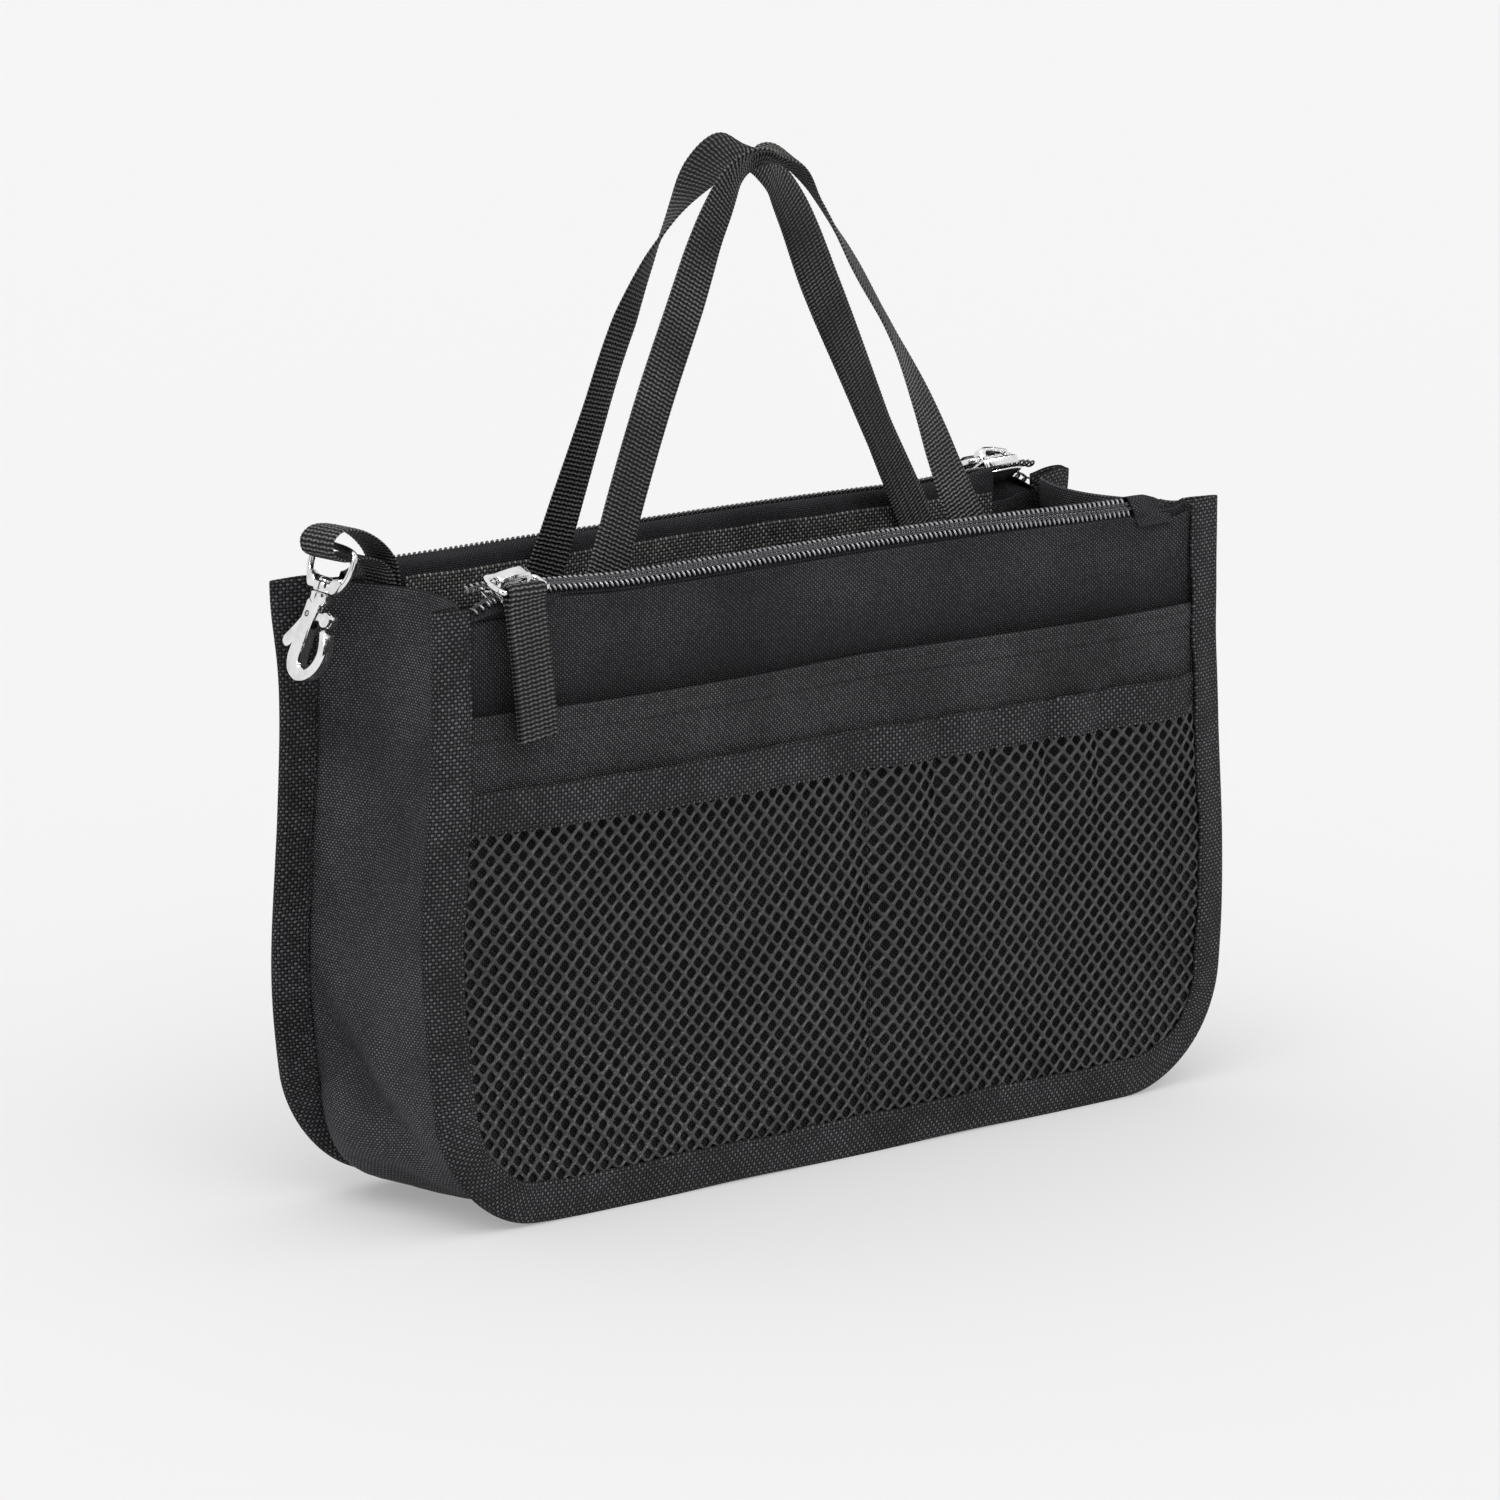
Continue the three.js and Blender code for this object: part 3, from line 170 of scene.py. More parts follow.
# %% Camera
camera_data = bpy.data.cameras.new("camera")
camera_data.lens, camera_data.sensor_width = 187.8, 36.0
camera_data.clip_start, camera_data.clip_end = 0.05, 100.0
camera = add("camera", camera_data)
camera.location = (-1.40724, -1.60102, 0.53279)
look = Vector((-0.00466, 0.0, 0.11134)) - camera.location
camera.rotation_euler = look.to_track_quat("-Z", "Y").to_euler()
scene.camera = camera
print("camera to bag:", round(look.length, 3), "m")

# %% [markdown]
# Floor and light
# A product photograph like this one has a floor that melts into the background. A wide flat floor
# under an even sky and one very soft sun has the same brightness everywhere, so no horizon shows,
# and only the bag's own soft shadow is left. A floor of that kind is also lit from inside in a real
# studio, so part of its brightness is its own and the shadow stays faint. Black cloth, nylon and
# plate need small hard lamps for their glints. These only show in gloss, so they throw no shadow.
# Bright plate in a white room would look like paper. Photographers stand black cards beside the
# camera, which show in the plate as dark lines, and here such cards are seen by reflections only.

# %% Sky and lamps
world = bpy.data.worlds.new("studio")
scene.world = world
world.use_nodes = True
fill(world.node_tree.nodes["Background"], Color=(0.89, 0.89, 0.89), Strength=1.0)
scene.view_settings.view_transform = "Standard"


def lamp(name, place, power, angle):
    data = bpy.data.lights.new(name, "SUN")
    data.energy, data.angle = power, math.radians(angle)
    thing = add(name, data)
    thing.location = place
    thing.rotation_euler = (-Vector(place)).to_track_quat("-Z", "Y").to_euler()
    return thing


lamp("soft_sun", (-0.9, -1.0, 2.2), 1.2, 60)
lamp("left_glint", (-1.5, -0.8, 1.5), 1.6, 11).visible_diffuse = False
lamp("right_glint", (0.6, -1.4, 1.9), 1.4, 11).visible_diffuse = False

# %% Floor
SPOKES = 48
FLOOR_RINGS = (0.4, 1.0, 3.0, 10.0, 40.0)
floor_mesh = bpy.data.meshes.new("floor")
spokes = [(math.cos(2 * math.pi * a / SPOKES), math.sin(2 * math.pi * a / SPOKES)) for a in range(SPOKES)]
points = [(0, 0, 0)] + [(r * x, r * y, 0) for r in FLOOR_RINGS for x, y in spokes]
faces = [(0, 1 + a, 1 + (a + 1) % SPOKES) for a in range(SPOKES)]
for low in range(1, 1 + SPOKES * (len(FLOOR_RINGS) - 1), SPOKES):
    for a in range(SPOKES):
        b = (a + 1) % SPOKES
        faces.append((low + a, low + SPOKES + a, low + SPOKES + b, low + b))
floor_mesh.from_pydata(points, [], faces)
floor = add("floor", floor_mesh)
floor_paint, shader = start_paint("pale_floor")
fill(shader, Base_Color=(0.5, 0.5, 0.5), Emission_Color=(1, 1, 1), Emission_Strength=0.3,
     Roughness=0.9, Specular_IOR_Level=0.1)
floor_mesh.materials.append(floor_paint)

# %% Black cards for the plate
CARD_AWAY = 1.5
CARDS = [(-131, 24, 26, 44), (-72, 20, 12, 60), (168, 20, 14, 60), (-100, 68, 60, 12), (40, 30, 30, 30)]
card_paint, shader = start_paint("black_card")
fill(shader, Base_Color=(0.006, 0.006, 0.006), Roughness=0.9)
for number, angles in enumerate(CARDS):
    turn, rise, wide, tall = (math.radians(a) for a in angles)
    out = Vector((math.cos(turn) * math.cos(rise), math.sin(turn) * math.cos(rise), math.sin(rise)))
    aside = Vector((-math.sin(turn), math.cos(turn), 0))
    over = out.cross(aside) * math.tan(tall / 2)
    aside = aside * math.tan(wide / 2)
    corners = [(out + aside * a + over * b) * CARD_AWAY + Vector((0, 0, 0.15))
               for a, b in ((-1, -1), (1, -1), (1, 1), (-1, 1))]
    card_mesh = bpy.data.meshes.new(f"card_{number}")
    card_mesh.from_pydata(corners, [], [(0, 1, 2, 3)])
    card_mesh.materials.append(card_paint)
    card = add(f"card_{number}", card_mesh)
    card.visible_camera = card.visible_diffuse = card.visible_shadow = False

# %% [markdown]
# Node groups for woven cloth
# All cloth on this bag is woven, so one group draws a plain weave: threads that pass over and under each other like a
# chess board, each a little arch. It reads the map named cloth, which holds millimetres along and across the piece, so
# the weave follows every fold. Its mask named Lit is a painted highlight on the threads that face the light. A second
# group adds what no loom leaves out: threads that differ, faint dust and soft wear. It also gives a broad patch mask,
# which makes the painted highlight come and go. They put out heights and masks, and each material decides what these
# do.

# %% Making a group
def new_group(name, numbers, results):
    """A group that reads a place and some numbers: (group, the flows in, the node for its results)."""
    group = bpy.data.node_groups.new(name, "ShaderNodeTree")
    group.interface.new_socket("Place", in_out="INPUT", socket_type="NodeSocketVector")
    for label, value in numbers.items():
        group.interface.new_socket(label, in_out="INPUT", socket_type="NodeSocketFloat").default_value = value
    for label in results:
        group.interface.new_socket(label, in_out="OUTPUT", socket_type="NodeSocketFloat")
    given = {socket.name: Flow(group, socket) for socket in group.nodes.new("NodeGroupInput").outputs}
    return group, given, group.nodes.new("NodeGroupOutput")


def arch(across_thread, along_thread):
    """A thread is round across its run, and dives under the next one along it."""
    dive = 0.55 + reckon("COSINE", along_thread * math.pi) * 0.45
    return (1.0 - across_thread * across_thread * 3.4) * dive


# %% The plain weave
weave, given, made = new_group("plain weave", {"Across mm": 0.6, "Along mm": 0.6, "Wander": 0.15},
                               ("Height", "Lit", "Thread"))
x, y, _ = given["Place"].parts()
drift = (given["Place"].noise(0.35, 1.0) - 0.5) * given["Wander"]
across, along = x / given["Across mm"] + drift, y / given["Along mm"] + drift
in_x, in_y = reckon("FRACT", across) - 0.5, reckon("FRACT", along) - 0.5
warp, weft = reckon("FLOOR", across), reckon("FLOOR", along)
over = reckon("GREATER_THAN", reckon("ABSOLUTE", reckon("FRACT", (warp + weft) * 0.5)), 0.25)
height = arch(in_x, in_y) * over + arch(in_y, in_x) * (1.0 - over)
crossing = new_node(weave, "ShaderNodeCombineXYZ", {0: warp, 1: weft})[0]
which = new_node(weave, "ShaderNodeTexWhiteNoise", {"Vector": crossing}, noise_dimensions="2D")[0]
# Painted highlight: Lit is brightest on the tops of the arches, and threads of one direction get about four times the
# light of the other.
facing = over.mapped(0, 1, 0.24, 1.0) * which.mapped(0, 1, 0.5, 1.35)
fill(made, Height=height, Lit=height.mapped(0.25, 1.0) ** 1.6 * facing, Thread=which)

# %% The ribs of webbing
ribs, given, made = new_group("webbing ribs", {"Rib mm": 1.2, "Warp mm": 1.5}, ("Height",))
x, y, _ = given["Place"].parts()
column = x / given["Warp mm"]
uneven = (given["Place"].noise(0.5) - 0.5) * 0.22
step = y / given["Rib mm"] + reckon("PINGPONG", column, 1.0) * 0.2 + uneven
wave, cords = (0.5 + reckon("COSINE", turn * (2 * math.pi)) * 0.5 for turn in (step, column))
fill(made, Height=wave - cords * 0.38)

# %% Uneven thread, dust and wear
wear, given, made = new_group("thread and dust", {"Seed": 0.0, "Patch mm": 25.0}, ("Shade", "Dust", "Fuzz", "Patch"))
seed = new_node(wear, "ShaderNodeCombineXYZ", {2: given["Seed"]})[0]
place = new_node(wear, "ShaderNodeVectorMath", {0: given["Place"], 1: seed}, operation="ADD")[0]
fine = place.noise(1.6, 2.0, 0.6)
inverse = reckon("DIVIDE", 1.0, given["Patch mm"])
shrunk = new_node(wear, "ShaderNodeVectorMath", {0: place, "Scale": inverse}, operation="SCALE")[0]
# Patch is a broad mask only. The materials use it to make their painted highlight come and go in patches.
fill(made, Patch=shrunk.noise(1.0).mapped(0.32, 0.68), Dust=place.noise(0.9, 4.0, 0.7).mapped(0.69, 0.78), Fuzz=fine,
     Shade=(place.noise(0.035, 3.0, 0.55) * 0.7 + fine * 0.3).mapped(0.3, 0.7))
print("node groups:", [group.name for group in bpy.data.node_groups])

# %% [markdown]
# Materials of the cloth
# Black polyester is never a flat black. The threads catch light on their arches and go dark in the gaps between them.
# Only one of the two thread directions faces the light, which draws the fine slanting lines of such cloth. Each
# material paints this light. It mixes a dark gap colour and a lit thread colour by that mask as a painted highlight,
# bumps the surface by the height of the weave, and lets roughness follow the thread. The photograph shows the threads
# clearly in some places and hardly in others, so the painted highlight comes and goes in patches. Painted shade fades
# it out below a height, on the cloth behind the net and on the panel just above the slip pocket.

# %% Parts of every finish
def start_material(name):
    material, shader = start_paint(name)
    place = new_node(material.node_tree, "ShaderNodeUVMap", {}, uv_map="cloth")[0]
    return material, shader, place


def use_group(group, place, **values):
    node = place.tree.nodes.new("ShaderNodeGroup")
    node.node_tree = group
    fill(node, Place=place, **values)
    return {socket.name: Flow(place.tree, socket) for socket in node.outputs}


def mix_colours(share, low, high):
    return new_node(share.tree, "ShaderNodeMix", {0: share, 6: low, 7: high}, data_type="RGBA")[2]


def bumped(height, depth, strength=1.0):
    inputs = {"Height": height, "Distance": depth * MM, "Strength": strength}
    return new_node(height.tree, "ShaderNodeBump", inputs)[0]


# %% Cloth, binding and tape finishes
BLACK = (0.0045, 0.0042, 0.0052)
DUST = (0.11, 0.11, 0.105)
FINE, COARSE = (0.72, 0.62), (0.98, 0.95)


def woven_material(name, gap, thread, pitch, seed, highlight_patches, depth=0.2, wander=0.15, painted_shade=None, gloss=0.12):
    """Thread is the colour of the painted highlight and gap the dark between threads. The patch setting is a size in mm
    and the two strengths of the painted highlight in its patches. The shade setting is two heights and the strength of
    painted shade below them.
    """
    material, shader, place = start_material(name)
    cloth = use_group(weave, place, Across_mm=pitch[0], Along_mm=pitch[1], Wander=wander)
    age = use_group(wear, place, Seed=seed, Patch_mm=highlight_patches[0])
    lit = cloth["Lit"] * age["Patch"].mapped(0, 1, *highlight_patches[1:])
    # Painted shade: below the given heights the painted highlight fades, where the cloth lies in shade.
    if painted_shade:
        lit = lit * place.parts()[1].mapped(*painted_shade)
    base = mix_colours(lit, gap, thread)
    fill(shader, Base_Color=mix_colours(age["Dust"] * 0.12, base, DUST), Specular_IOR_Level=gloss,
         Roughness=cloth["Thread"].mapped(0, 1, 0.6, 0.85), Normal=bumped(cloth["Height"] + age["Fuzz"] * 0.3, depth))
    return material


cloth_paint = woven_material("black_cloth", BLACK, (0.1, 0.096, 0.108), FINE, 3.0, (30, 0.65, 1.4))
# The gusset has a lighter copy of the cloth. Its brighter colours are painted light for the side of the bag that faces
# the lamps, and its gloss is a little higher.
lit_gusset_paint = woven_material("black_gusset_cloth_lit", (0.006, 0.0057, 0.007), (0.15, 0.145, 0.158), FINE, 44.0,
                              (30, 0.65, 1.35), gloss=0.2)
# Painted shadow on the panel just above the slip pocket's edge, and painted shade on the front slip pocket behind the
# net.
panel_paint = woven_material("black_panel_cloth", BLACK, (0.105, 0.101, 0.113), FINE, 16.0,
                             (34, 0.7, 1.4), painted_shade=(143, 158, 0.45))
slip_paint = woven_material("black_pocket_cloth", BLACK, (0.145, 0.141, 0.15), FINE, 6.0,
                            (34, 0.6, 1.4), painted_shade=(107, 113, 0.3))
binding_paint = woven_material("black_binding", (0.004, 0.0038, 0.0045), (0.138, 0.134, 0.144), COARSE, 8.0,
                               (16, 0.7, 1.3), depth=0.34, wander=0.55)
# The inner pockets' tape is the binding's tape with a much brighter thread colour: a painted highlight for the light
# that falls on it from above.
lit_pocket_tape_paint = woven_material("black_pocket_tape_lit", (0.003, 0.003, 0.0035), (0.32, 0.32, 0.31), COARSE, 11.0,
                                   (9, 0.75, 1.3), depth=0.34, wander=0.45)
tape_paint = woven_material("black_zip_tape", (0.006, 0.0058, 0.007), (0.07, 0.067, 0.076), (0.5, 0.62), 13.0,
                            (14, 0.8, 1.2), depth=0.15)

# %% Webbing finish
webbing_paint, shader, place = start_material("black_webbing")
rib = use_group(ribs, place)
age = use_group(wear, place, Seed=21.0)
# Painted highlight and painted shade: the rib tops are lit and the grooves dark, in patches of painted highlight.
top = rib["Height"].mapped(0.1, 1.0) ** 1.7 * age["Fuzz"].mapped(0.3, 0.7, 0.55, 1.3)
top = top * age["Patch"].mapped(0, 1, 0.6, 1.25)
fill(shader, Base_Color=mix_colours(top, (0.0022, 0.0022, 0.0025), (0.195, 0.197, 0.19)), Specular_IOR_Level=0.2,
     Roughness=age["Fuzz"].mapped(0.3, 0.7, 0.55, 0.8), Normal=bumped(rib["Height"] + age["Fuzz"] * 0.4, 0.3))

# %% Net finish
net_paint, shader, place = start_material("black_net")
age = use_group(wear, place, Seed=34.0)
x, z, _ = place.parts()
# Painted highlight: the rising strands carry a broken painted gleam, and painted glint specks are bunched low and to
# the left.
beside = reckon("ABSOLUTE", reckon("FRACT", x / CELL_X - z / CELL_Z + 0.5) - 0.5)
on_rising = beside.mapped(0.05, 0.13, 1.0, 0.0)
gleam = place.noise(0.42, 3.0, 0.65).mapped(0.42, 0.66, 0.12, 1.0)
near_floor = z.mapped(70, 14, 0.25, 1.0) * x.mapped(20, -105, 0.35, 1.0)
glint_specks = place.noise(1.3, 2.0, 0.6).mapped(0.53, 0.62, 0.0, 1.6) * near_floor
lit = age["Shade"].mapped(0, 1, 0.1, 0.26) + on_rising * gleam * 0.38 + glint_specks * gleam * 0.9
fill(shader, Base_Color=mix_colours(lit, (0.005, 0.005, 0.0062), (0.13, 0.13, 0.137)), Specular_IOR_Level=0.3,
     Roughness=age["Fuzz"].mapped(0.3, 0.7, 0.34, 0.55), Normal=bumped(place.noise(1.1) * 1.5 + age["Fuzz"], 0.1))


# %% Thread and coil finishes
def plain_fibre(name, colour, lighter, roughness, scale, seed):
    material, shader, place = start_material(name)
    age = use_group(wear, place, Seed=seed)
    fill(shader, Base_Color=mix_colours(age["Shade"], colour, lighter), Normal=bumped(place.noise(scale), 0.05),
         Roughness=age["Fuzz"].mapped(0.3, 0.7, roughness, roughness + 0.15))
    return material


thread_paint = plain_fibre("black_thread", (0.002, 0.002, 0.0022), (0.02, 0.02, 0.019), 0.5, 3.0, 55.0)
core_paint = plain_fibre("black_zip_thread", (0.018, 0.018, 0.022), (0.075, 0.075, 0.088), 0.45, 2.4, 75.0)

# The coil's map counts ten units for each turn, so a painted highlight sits on the crown of every turn, brightest on
# its outer half.
PHASE_UNITS = 10
coil_paint, shader, place = start_material("black_nylon_coil")
phase = place.parts()[0] * (2 * math.pi / PHASE_UNITS) + 0.3
outer_half = reckon("COSINE", phase).mapped(0.55, -0.5, 0.25, 1.0)
lit = reckon("SINE", phase).mapped(0.05, 0.9) * outer_half * place.noise(0.13, 1.0).mapped(0.3, 0.7, 0.6, 1.2)
fill(shader, Base_Color=mix_colours(lit, (0.006, 0.006, 0.0075), (0.42, 0.42, 0.44)), Roughness=0.2,
     Specular_IOR_Level=0.7, Normal=bumped(place.noise(0.6), 0.03))

# %% [markdown]
# Metal
# The slider, its pull loop and the snap hook are cast zinc with a bright nickel plate. Bright plate
# is close to a mirror, so the studio does most of the work. What makes it real is a little waviness
# of the casting, fine scratches from handling, and a duller plate in some places.

# %% Metal finishes
scuffs, given, made = new_group("handling marks", {}, ("Scratch", "Haze", "Waves"))
place = given["Place"]
stretched = new_node(scuffs, "ShaderNodeMapping",
                     {"Vector": place, "Rotation": (0.4, 0.9, 0.3), "Scale": (6.0, 0.7, 0.7)})[0]
fill(made, Scratch=stretched.noise(500.0, 3.0, 0.7).mapped(0.58, 0.72),
     Haze=place.noise(260.0, 4.0, 0.6).mapped(0.4, 0.7), Waves=place.noise(180.0, 1.0))


def metal_material(name, colour, dull, roughness):
    material, shader = start_paint(name)
    where = material.node_tree.nodes.new("ShaderNodeTexCoord").outputs["Object"]
    marks = use_group(scuffs, Flow(material.node_tree, where))
    fill(shader, Base_Color=mix_colours(marks["Haze"], colour, dull), Metallic=1.0,
         Roughness=marks["Haze"].mapped(0, 1, roughness, roughness + 0.12) + marks["Scratch"] * 0.12,
         Normal=bumped(marks["Waves"] - marks["Scratch"] * 0.15, 0.25, 0.5))
    return material


plated_paint = metal_material("bright_nickel", (0.86, 0.86, 0.87), (0.72, 0.71, 0.7), 0.08)
steel_paint = metal_material("spring_steel", (0.62, 0.63, 0.65), (0.45, 0.45, 0.46), 0.22)

# %% [markdown]
# How a sheet of cloth is built
# Cloth is thin but not paper. Each sheet starts as one grid of points, its middle surface. The grid
# is pushed out to both sides by half the thickness, and a rounded rim joins the two, so that every
# cut or folded edge catches light like the real one. The flat place of each point, in millimetres,
# is kept in the map named cloth. All shapes are sums of a few soft curves: a step, a hump, a bell.

# %% Soft curves and arrays
def smooth(low, high, value):
    share = np.clip((value - low) / (high - low), 0, 1)
    return share * share * (3 - 2 * share)


def hump(value, low, high):
    """Nothing at both ends and 1 halfway."""
    return np.sin(np.pi * np.clip((value - low) / (high - low), 0, 1))


def bell(value, place, wide):
    return np.exp(-(((value - place) / wide) ** 2))


def joined(*parts):
    """Coordinates as one array. A part may be one number, or the same for a whole row."""
    return np.stack(np.broadcast_arrays(*parts), -1)


def unit(vectors):
    return vectors / np.maximum(np.linalg.norm(vectors, axis=-1, keepdims=True), 1e-9)


def lengths(section):
    """Distance along a line, or along each section of a grid."""
    steps = np.linalg.norm(np.diff(section, axis=-2), axis=-1)
    return np.concatenate([np.zeros((*steps.shape[:-1], 1)), np.cumsum(steps, -1)], -1)


def points_at(at, run, line):
    return np.stack([np.interp(at, run, values) for values in np.transpose(line)], -1)


# %% How the sewn shape gives way
def swell(x, z):
    """The sides of the bag stand out a little, most at half height."""
    return x * (1 + hump(z, 0, BULGE_TOP) ** 2 * BULGE / (WIDTH / 2))


def inset_of(x, z):
    """Distance of a place on the wall from the wall's edge."""
    over, under = np.maximum(np.abs(x) - (WIDTH / 2 - CORNER), 0), np.maximum(CORNER - z, 0)
    straight = np.minimum(WIDTH / 2 - np.abs(x), z)
    return np.where((over > 0) & (under > 0), CORNER - np.hypot(over, under), straight)


def sag(points):
    """Every sewn layer goes through this, so they give way together and none cuts through another."""
    x, y, z = points.T.copy()
    own, wide, depth, wall = np.where(y > 0, -x, x), np.abs(x), np.abs(y), np.sign(y)
    pressed = 0.6 * smooth(11, 0, inset_of(x / swell(1.0, z), z)) * smooth(24, 30, depth)
    slack = (1.3 * smooth(-108, -75, own) + 0.5 * smooth(60, 110, own)) * smooth(133, 126, wide)
    low_corner = smooth(-70, -122, x) * smooth(-4, 26, y) * smooth(66, 8, z)
    near_corner = smooth(-100, -138, x) * smooth(-14, -32, y) * smooth(80, 16, z)
    flare = smooth(-128, -142, x) * smooth(20, 32, y) * smooth(140, 171, z)
    ear = smooth(126, 140, x) * smooth(24, 32, y) * smooth(146, 171, z)
    ear_rise = smooth(132, 139, x) - 3.0 * smooth(136, 128, x) - 1.4 * smooth(141, 145, x)
    edge_wave = 0.6 * np.sin(z / 24 + 0.5) * smooth(120, 143, wide) * wall
    top_wave = 0.35 * np.sin(x / 31 + 1) * smooth(120, 165, z) * smooth(135, 110, wide)
    return np.stack([
        x + low_corner + 1.8 * near_corner - 3.0 * flare + 1.8 * ear,
        y + (EDGE_MIDDLE - depth) * pressed * wall - 1.5 * ear + edge_wave,
        z - slack * smooth(163, 171, z) * smooth(25, 28, depth) + 3.5 * low_corner + 1.6 * near_corner
        + ear_rise * ear + top_wave], -1)


# %% New pieces
def new_piece(name, made, paint, rear=False, body="bag", replaced=()):
    """A piece from (points, faces, flat places). The rear wall is the front wall turned half round."""
    points, faces, flat = made
    points = points * ((-1, -1, 1) if rear else (1, 1, 1))
    if body == "bag":
        points = sag(points)
    mesh = bpy.data.meshes.new(name)
    mesh.from_pydata((points * MM).tolist(), [], faces)
    layer = mesh.uv_layers.new(name="cloth")
    corners = np.zeros(len(mesh.loops), np.int32)
    mesh.loops.foreach_get("vertex_index", corners)
    layer.data.foreach_set("uv", flat.astype(np.float32)[corners].ravel())
    mesh.polygons.foreach_set("use_smooth", [True] * len(mesh.polygons))
    work = bmesh.new()
    work.from_mesh(mesh)
    bmesh.ops.recalc_face_normals(work, faces=work.faces)
    work.to_mesh(mesh)
    work.free()
    mesh.materials.append(paint)
    piece = add(name, mesh)
    if body:
        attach(piece, body)
    if replaced:
        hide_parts(*replaced)
    print(name, len(points), "points")
    return piece


def thick_sheet(grid, thickness, flat, rim=3):
    """A sheet with a rounded rim from a grid of middle points: (points, faces, flat places)."""
    rows, columns = grid.shape[:2]
    size = rows * columns
    normal = unit(np.cross(np.gradient(grid, axis=1), np.gradient(grid, axis=0)))
    half = np.broadcast_to(thickness / 2, (rows, columns))[..., None]
    away = np.zeros_like(grid)
    for edge, inner in ((0, 1), (-1, -2)):
        away[edge] += unit(grid[edge] - grid[inner])
        away[:, edge] += unit(grid[:, edge] - grid[:, inner])
    number = np.arange(size).reshape(rows, columns)
    loop = np.concatenate([number[0], number[1:, -1], number[-1, -2::-1], number[-2:0:-1, 0]])
    middle, up, out, edge_half, edge_flat = (
        values.reshape(size, -1)[loop] for values in (grid, normal, unit(away), half, flat))
    points = [(grid + normal * half).reshape(-1, 3), (grid - normal * half).reshape(-1, 3)]
    for angle in np.linspace(0, math.pi, rim + 2)[1:-1]:
        points.append(middle + (up * math.cos(angle) + out * math.sin(angle)) * edge_half)
    a, b, c, d = (part.ravel() for part in (number[:-1, :-1], number[:-1, 1:], number[1:, 1:], number[1:, :-1]))
    faces = [np.stack([a, b, c, d], 1), size + np.stack([a, d, c, b], 1)]
    rings = [2 * size + len(loop) * k + np.arange(len(loop)) for k in range(rim)]
    for first, second in zip([loop, *rings], [*rings, size + loop]):
        faces.append(np.stack([first, np.roll(first, -1), np.roll(second, -1), second], 1))
    flats = [flat.reshape(-1, 2)] * 2 + [edge_flat] * rim
    return np.concatenate(points), np.concatenate(faces).tolist(), np.concatenate(flats)


def tube_faces(rings, sides):
    """Faces of a closed tube whose points are numbered ring by ring."""
    faces = [(k + i, k + (i + 1) % sides, k + sides + (i + 1) % sides, k + sides + i)
             for k in range(0, (rings - 1) * sides, sides) for i in range(sides)]
    return faces + [tuple(range(sides - 1, -1, -1)), tuple(range((rings - 1) * sides, rings * sides))]


# %% [markdown]
# How the wall waves
# A real wall is sewn flat and then lives: it sags a little between its seams, the pockets stand off
# where nothing holds them, and the pen loops pull the taped edge into small bays. These are written
# as heights over the wall, and each outer layer adds its own to the layer below, so none cuts
# through another.

# %% Heights of the layers
def wall_wave(x, z):
    hold = smooth(WIDTH / 2 - 10, WIDTH / 2 - 50, np.abs(x)) * smooth(10, 40, z) * smooth(PANEL_TOP, 130, z)
    return hold * (0.9 * np.sin(x / 47 + 0.6) * np.cos(z / 39 - 0.4) + 0.5 * np.sin(x / 23 - z / 31 + 2.1))


def slip_stand_off(x, z):
    """The slip pocket is sewn down at its sides and along one line near the middle."""
    bays = np.where(x < SLIP_SEAM, hump(x, -SEWN_HALF, SLIP_SEAM), hump(x, SLIP_SEAM, SEWN_HALF))
    return 3.0 * bays**0.6 * smooth(108, SLIP_TOP, z) ** 1.2 + 0.2


def tape_bays(x):
    """The taped edge of the net: one wide pocket and, beyond the pen loops, smaller bays."""
    marks = [-SEWN_HALF, *PEN_LOOPS, SEWN_HALF]
    lifts = [3.0, 2.3, 2.1, 2.0, 2.0, 2.6]
    return sum(lift * hump(x, low, high) ** 0.7 for low, high, lift in zip(marks, marks[1:], lifts))


def net_stand_off(x, z):
    belly = 2.2 * (1 - np.clip(x / SEWN_HALF, -1, 1) ** 2) * hump(z, 12, 112) ** 0.8
    top = smooth(70, NET_TOP, z)
    return (belly * (1 - top) + tape_bays(x) * top) * (1 - 0.75 * bell(x, PEN_LOOPS[0], 5)) + 0.1


def panel_depth(x, z):
    return PANEL_FACE + wall_wave(x, z) + 0.3 * smooth(164, 169, z)


def slip_depth(x, z):
    return SLIP_FACE + wall_wave(x, z) + slip_stand_off(x, z)


def over_slip(x, z):
    """The lower pockets lie on the slip pocket and follow only part of its swell."""
    return NET_FACE + wall_wave(x, z) + 0.6 * slip_stand_off(x, np.minimum(z, 118))


def net_depth(x, z):
    return over_slip(x, z) + net_stand_off(x, z)


def lower_depth(x, z):
    return over_slip(x, z) + 0.5 * smooth(60, NET_TOP, z) * np.cos(np.clip(x / SEWN_HALF, -1, 1) * np.pi / 2)


def panel_lift(x):
    """The outer panel covers the zip's tape up to the chain, except at the open end."""
    return 4.2 * smooth(-113, -104, x) - 2.6 * smooth(106, 122, x)


# %% A sheet cut to the wall's outline
SHEETS = []
BEND_ROWS, UPPER_ROWS = 15, 43


